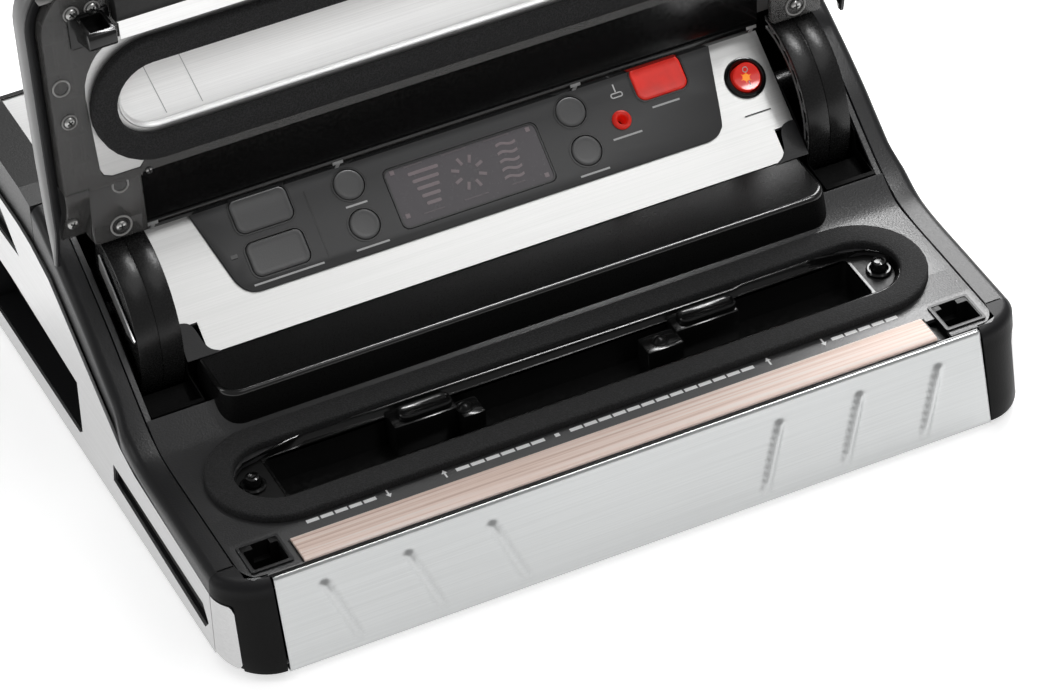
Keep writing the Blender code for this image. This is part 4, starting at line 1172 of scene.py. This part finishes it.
def build_arms(mats):
    """Curved arms about the hinge: an outer shell in two halves, an inner one, ribs between and a web."""
    for name, side in SIDES.items():
        parts = []
        mid = centre(*ARM_X)
        for near, far in ((ARM_X[0], mid - 0.18), (mid + 0.18, ARM_X[1])):
            outline = arm_band(ARM_RADIUS, 50.8, 183.5, 308, 48)
            parts.append(prism("shell", outline, *span(side, near, far), along_x(lid), mats["arm"], 0.35))
        inner = arm_band(52.4, 50.9, 184, 307.5, 40)
        parts.append(prism("seam_backing", inner, *span(side, mid - 1, mid + 1), along_x(lid), mats["arm"]))
        inner = arm_band(46, 44.2, 184, 307, 40)
        parts.append(prism("second", inner, *span(side, *ARM_X), along_x(lid), mats["arm"], 0.2))
        web = [(HINGE_YZ[0] + 5, HINGE_YZ[1] + 9)] + arc(*HINGE_YZ, 52, 184, 307, 40)
        parts.append(prism("web", web, *span(side, ARM_X[1] - 2.4, ARM_X[1] - 0.06), along_x(lid),
            mats["arm"]))
        # The ribs and the rims at the inner face are painted light grey as painted highlights on their
        # edges.
        spots = [(45.4 if i % 2 else 51.6, 186 + 7.4 * i) for i in range(17)]
        points = [(HINGE_YZ[0] + r * math.cos(math.radians(a)),
            HINGE_YZ[1] + r * math.sin(math.radians(a))) for r, a in spots]
        for a, b in zip(points, points[1:]):
            parts.append(prism("rib", sheet([a, b], 1.0), *span(side, ARM_X[0] + 0.5, ARM_X[1] - 1),
                along_x(lid), mats["arm_edge_painted_highlight"]))
        for radius in (50.7, 46.1):
            rim = arm_band(radius + 0.5, radius - 0.4, 185, 306, 40)
            parts.append(prism("rim", rim, *span(side, ARM_X[0] - 0.15, ARM_X[0] + 0.4), along_x(lid),
                mats["arm_edge_painted_highlight"]))
        boss = prism("boss", circle(*HINGE_YZ, 9, 32), *span(side, ARM_X[0] + 0.1, ARM_X[1] + 0.3),
            along_x(lid), mats["arm"], 0.5)
        bake(boss)
        parts.append(cut(boss, prism("bore", circle(*HINGE_YZ, 4.35, 28), -260, 260, along_x(lid),
            mats["arm"])))
        piece(merge(f"hinge_arm_{name}", parts), LID, "black_plastic", f"lid_arm_{name}")
    # A thin bright steel strip in the gap between the left arm and the shell, on the left only.
    bright_strip = [(193.6, 76.4), (149.4, 46.9), (149.8, 45.2), (160, 45), (194, 66)]
    piece(prism("arm_bright_strip_left", bright_strip, -219.7, -218.9, along_x(deck), mats["steel"]), LID, "steel")


# ---------------------------------------------------------------- lid

def lid_path(inset, back):
    """Open plan line round the lid: forwards on the right, across the front and back on the left."""
    half = LID_HALF - inset
    radius = LID_CORNER - inset
    cx, cy = LID_HALF - LID_CORNER, LID_FRONT + LID_CORNER
    right = [(half, back + (cy - back) * i / 12) for i in range(12)]
    right += [(cx + radius * math.cos(a), cy - radius * math.sin(a))
        for a in [math.radians(7.5 * i) for i in range(13)]]
    right.append((cx / 2, LID_FRONT + inset))
    return right + [(-x, y) for x, y in reversed(right)]


def build_lid_cover(mats):
    back = 160.6
    rings = []
    for inset, drop in ((0.05, None), (0.05, 8.0), (0.05, 4.0), (0.4, 2.2), (1.4, 0.9), (3.0, 0.25),
            (6, 0.0)):
        ring = []
        for x, y in lid_path(inset, back):
            foot = 21.8 + lid_rise(y)
            z = level_at(LID_TOP, y) - (drop or 0)
            if y > 150:
                x = math.copysign(LID_HALF - min(inset, 0.4), x)
            ring.append(lid(x, y, foot if drop is None else max(z, foot + 1.2)))
        rings.append(ring)
    form = bmesh.new()
    rows = [[form.verts.new(p) for p in ring] for ring in rings]
    count = len(rows[0])
    for low, high in zip(rows, rows[1:]):
        for i in range(count - 1):
            form.faces.new((low[i], low[i + 1], high[i + 1], high[i]))
    last = rows[-1]
    behind = sum(1 for x, y in lid_path(6, back)[:count // 2] if y > 151.5)
    for i in range(behind, count // 2 - 1):
        form.faces.new((last[i], last[i + 1], last[count - 2 - i], last[count - 1 - i]))
    cover = finish_mesh("lid_shell_cover", form, [mats["silver"]])
    thicken(cover, 0.0018)
    piece(cover, LID, "silver_paint", "lid_cover")


def lid_rise(y):
    """How far the lid's lower edge climbs towards the back, over the shell's rising sides."""
    return max(0, y - LID_CLIMB_Y) * LID_CLIMB


def lid_strip(name, section, back, mat, follow=False):
    """A strip of the given (inset, z) section carried round the lid's edge.

    If it follows that edge, it climbs towards the back, and is only as wide there as the lid's wall."""
    rings = []
    paths = [lid_path(inset, back) for inset, z in section]
    for i in range(len(paths[0])):
        ring = []
        for path, (inset, z) in zip(paths, section):
            x, y = path[i]
            if follow and y > 131:
                x = math.copysign(LID_HALF - min(inset, 2.5), x)
            ring.append(lid(x, y, z + (lid_rise(y) if follow else 0)))
        rings.append(ring)
    return loft(name, rings, mat, smooth_angle=30)


def build_lid_edges(mats):
    section = [(0.2, 21.5), (0.2, 20.3), (0.9, 19.6), (4.4, 19.6), (5.5, 20.1), (5.9, 21.5)]
    piece(lid_strip("lid_edge_trim", section, 160.2, mats["black"], True), LID, "black_plastic", "lid_rim")


def window_outline(out):
    """Opening of the smoked flange: round at the front, nearly square behind, narrower between the arms."""
    right = [(188.5, 100.7 + out), (191.5, 104.4 + out), (208 + out, 104.4 + out),
        (212.6 + out, 102.4 + out), (214.4 + out, 98)]
    right += [(215.6 + out, 72), (216.6 + out, 52), (216.0 + out, 44), (213.8 + out, 37.3),
        (210.5 + out, 31.2 - out)]
    right += [(207.3 + out, 27 - out), (202 + out, 23.2 - out), (196.4, 20.7 - out), (188, 19.2 - out),
        (180, 18.8 - out)]
    return [(x, y) for x, y in right] + [(-x, y) for x, y in reversed(right)]


def build_lid_frame(mats):
    flange = prism("lid_flange", lid_path(6.3, 107.4), 11.5, 13.3, lid, mats["smoke"])
    cut(flange, prism("window", window_outline(0), 0, 20, lid, mats["smoke"]))
    parts = [flange]
    wall = [(6.35, 13.4), (6.35, 24.6), (8.1, 24.6), (8.1, 13.4)]
    parts.append(lid_strip("wall", wall, 107.4, mats["smoke"]))
    wing = [(107.6, 11.5), (116, 11.5), (121, 12.8), (125, 14.8), (134, 21.6), (147, 29.6), (145.6, 30.8),
            (133, 23.4), (124, 16.6), (115, 13.3), (107.6, 13.3)]
    tail = [(134, 22.2), (160.3, 28.8), (160.3, 29.6), (150.4, 31.4), (138, 33)]
    for side in SIDES.values():
        parts.append(prism("wing", wing, *span(side, 222.2, LID_HALF - 6.4), along_x(lid), mats["smoke"],
            0.4))
        parts.append(prism("tail", tail, *span(side, 239.3, 239.9), along_x(lid), mats["smoke"]))
        block = prism("block", rounded(side * 206.1, 126.2, 31.2, 42, 2.2), 15.5, 19.4, lid,
            mats["smoke"], 0.5)
        parts.append(bake(block))
        parts.append(box("link", span(side, 190.6, 221.6), (107.5, 109.4), (11.6, 15.4), lid,
            mats["smoke"]))
        parts.append(box("cheek", span(side, 220.4, 222.0), (107.6, 146), (19.5, 29), lid, mats["smoke"]))
    parts.append(box("riser", (-190.4, 190.4), (107.5, 108.9), (13.4, 25.6), lid, mats["smoke"]))
    piece(merge("lid_smoked_frame", parts), LID, "smoked_plastic", "lid_frame")
    build_frame_ribs(mats)


def build_frame_ribs(mats):
    """Ribs and bosses behind the smoked plastic, which show through it."""
    parts = []
    for side in SIDES.values():
        for y in (-12, 2, 14, 33, 51, 74, 92):
            parts.append(box("rib", span(side, 217, 233.4), (y, y + 1.1), (14.2, 21), lid, mats["rib"]))
        for x in (219.2, 226.5):
            parts.append(box("rib", span(side, x, x + 1.0), (-14, 100), (16, 21.5), lid, mats["rib"]))
        for x, y, radius in ((229, 40.5, 5.2), (217.8, -2.1, 4.6), (205.9, -1.8, 4.6), (227.2, 62.6, 4.6),
                (205.7, 139.2, 6.4), (203, 113.5, 5.0)):
            z = 15.3 if y > 108 else 11.3
            ring = [(radius, z + 0.1), (radius, z - 0.5), (radius - 0.5, z - 0.8),
                (radius - 1.0, z - 0.5), (radius - 1.0, z + 0.1)]
            rings = turned_rings((side * x, y), ring, lid, 28)
            parts.append(ring_piece("ring", rings, mats["rib"]))
    piece(merge("lid_frame_ribs", parts), LID, "smoked_plastic")


def build_screws(mats):
    parts = []
    for side in SIDES.values():
        for x, y, z in ((217.8, -2.1, 11.3), (205.9, -1.8, 11.3), (227.2, 62.6, 11.3),
                (231.5, 130.8, 18.9), (205.7, 139.2, 15.3), (187.0, 107.6, 11.2)):
            small = 0.6 if x == 187.0 else 1.0
            profile = [(3.3, 0.15), (3.3, -0.5), (2.9, -1.2), (2.0, -1.7), (0.4, -1.9)]
            head = turned("head", (side * x, y), [(r * small, z + h * small) for r, h in profile], lid,
                mats["screw"], 24)
            turn = 30 + x * 7 % 60
            for extra in (0, 90):
                c, t = math.cos(math.radians(turn + extra)), math.sin(math.radians(turn + extra))
                slot = [(side * x + c * a - t * b, y + t * a + c * b) for a,
                    b in ((-1.9, -0.45), (1.9, -0.45), (1.9, 0.45), (-1.9, 0.45))]
                head = cut(head, prism("slot", slot, z - 4, z - 0.7, lid, mats["screw"]))
                # a near-black sheet at the bottom of each slot as painted shade
                parts.append(prism("cross", slot, z - 0.75, z - 0.65, lid, mats["dark_gap"]))
            parts.append(head)
    piece(merge("lid_screws", parts), LID, "steel")


def build_lid_inside(mats):
    plate = prism("tray", window_outline(-0.4), 12.0, 13.0, lid, mats["tray_steel"])
    cut(plate, prism("middle", stadium(GASKET_BEND, LID_GASKET_Y, 21.9, 24), 0, 20, lid, mats["steel"]))
    profile = [(22.0, 15.6), (22.0, 12.0), (21.4, 11.7), (20.8, 11.9), (20.2, 12.8), (19.6, 14.4),
        (18.8, 14.8)]
    rings = [[lid(x, y, z) for x, y in stadium(GASKET_BEND, LID_GASKET_Y, radius, 24)] for radius,
        z in profile]
    dish = loft("dish", rings, mats["dish_steel"])
    parts = [plate, dish]
    for x in (-176.5, -155.5, 155.5, 176.5):
        slope = 5.0 if x < 0 else -5.0
        outline = [(x - slope - 0.25, 44), (x - slope + 0.25, 44), (x + slope + 0.25, 78),
            (x + slope - 0.25, 78)]
        parts.append(prism("score", outline, 14.72, 14.78, lid, mats["score"]))
    piece(merge("lid_tray_plate", parts), LID, "steel", "lid_inner_plate")
    rings = gasket_rings(lid, 11.1, 5.7, GASKET_BEND + 1, LID_GASKET_Y + 1.3, GASKET_OUTER - 1.7,
        GASKET_INNER - 0.5)
    gasket = ring_piece("lid_gasket_foam", rings, mats["foam"])
    piece(gasket, LID, "foam", "lid_gasket")
    bar = [(-11.5, 11.1), (-11.5, 5.4), (-10.6, 4.0), (-8.0, 2.6), (-5.5, 2.3), (1.5, 2.3), (4.4, 2.8),
        (6.6, 4.2), (7.2, 5.6), (7.2, 11.1)]
    piece(prism("pressure_bar_rubber", bar, -196, 196, along_x(lid), mats["rubber"], 0.4), LID, "rubber",
        "pressure_bar")
    strip = [(-195.4, 8.4), (-193.0, 11.2), (-193.0, 21.4), (193.0, 21.4), (193.0, 11.2), (195.4, 8.4),
        (195.4, 7.6), (-195.4, 7.6)]
    piece(prism("bar_steel_strip", strip, 9.6, 11.1, lid, mats["steel"], 0.25), LID, "steel", "bar_strip")


def build_lid_rear(mats):
    """The glossy sheet behind the gasket, the lip at its end and four grey clips on the lip."""
    line = [(108.9, 26.3), (112, 26.5), (124, 27.2), (137, 28.2), (150, 29.9), (158.6, 31.5)]
    band = prism("lid_rear_sheet", sheet(line, -1.3), -188.4, 188.4, along_x(lid), mats["gloss"], 0.3)
    lip = [(151.2, 29.6), (152.0, 28.6), (154.4, 28.5), (158.4, 31.3), (158.5, 31.6), (157.6, 31.6),
        (151.2, 30.1)]
    bar = prism("lip", lip, -186, 186, along_x(lid), mats["gloss"], 0.3)
    piece(merge("lid_rear_panel", [band, bar]), LID, "gloss_black", "lid_rear_band")
    parts = []
    head = [(152.4, 28.18), (154.4, 28.1), (154.4, 28.6), (152.4, 28.7)]
    stem = [(154.4, 28.1), (158.7, 31.1), (158.5, 31.5), (154.3, 28.6)]
    for x in (-183.6, -72.9, 72.9, 183.6):
        for half, outline in ((3.1, head), (1.2, stem)):
            parts.append(prism("part", outline, x - half, x + half, along_x(lid), mats["clip"], 0.1))
    piece(merge("lid_rear_clips", parts), LID, "gloss_black")


def build_hooks(mats):
    """The two tongues under the lid that enter the latch sockets."""
    for name, side in SIDES.items():
        shape = [(0.4, 11.1), (0.4, 5), (1.2, -6), (2.2, -8.6), (4.2, -9.6), (9.6, -9.6), (11.0, -8.6),
            (11.8, -6.6), (13.6, 3), (15.4, 11.1)]
        hook = prism(f"latch_tongue_{name}", shape, *span(side, 200.5, 216.5), along_x(lid),
            mats["gloss"], 0.5)
        bake(hook)
        recess = box("recess", span(side, 202.6, 214.4), (-2, 7.6), (-6.6, 8.6), lid, mats["gloss"])
        cut(hook, recess)
        foot = prism("foot", rounded(side * 208.8, 9.2, 23.4, 20.6, 1.4), 10.2, 11.35, lid, mats["gloss"],
            0.4)
        piece(merge(f"latch_hook_body_{name}", [hook, foot]), LID, "gloss_black", f"latch_hook_{name}")


# ---------------------------------------------------------------- finish

def paint_frame(mats):
    """Materials for every CAD node, in view or replaced; a name that isn't listed is a grey key."""
    looks = {
        "base_pan": "black", "foot_": "rubber", "side_panel_": "side_steel", "side_liner_": "black",
        "rear_shell": "grey",
        "rear_top_plate": "steel", "control_plate": "plate_steel", "control_fascia": "fascia",
        "display_window": "window",
        "indicator_lens": "lens", "accessory_port": "red", "switch_bezel": "gloss",
        "power_rocker": "lit_red",
        "cancel_button": "red", "arm_pocket_": "pocket", "hinge_pin_": "metal", "heater_bar": "metal",
        "vacuum_pump": "metal",
        "pump_motor": "metal", "transformer": "metal", "main_board": "board", "cooling_fan": "black",
        "vacuum_pipe": "rubber",
        "power_inlet": "black", "lid_cover": "silver", "lid_rim": "black", "lid_frame": "smoke",
        "lid_inner_plate": "steel",
        "lid_rear_band": "gloss", "lid_gasket": "foam", "pressure_bar": "rubber", "bar_strip": "steel",
        "lid_arm_": "arm",
        "latch_hook_": "gloss", "front_panel": "front_steel", "top_shell": "black", "deck_panel": "deck",
        "vacuum_trough": "gloss",
        "bag_stop_": "gloss", "lower_gasket": "foam", "seal_strip": "tape", "latch_socket_": "gloss",
    }
    for name, obj in frame["nodes"].items():
        look = next((v for k, v in looks.items() if name.startswith(k)), "key")
        obj.data.materials.clear()
        obj.data.materials.append(mats[look])


def main():
    build_camera()
    build_studio()
    mats = make_materials()
    builders = (
        paint_frame, build_rails, build_corners, build_front_panel, build_deck, build_trough,
        build_gasket, build_seal, build_sockets, build_controls, build_deck_marks,
        build_side_wraps, build_louvres, build_arms, build_lid_cover, build_lid_edges,
        build_lid_frame, build_screws, build_lid_inside, build_lid_rear, build_hooks,
    )
    for build in builders:
        build(mats)


main()
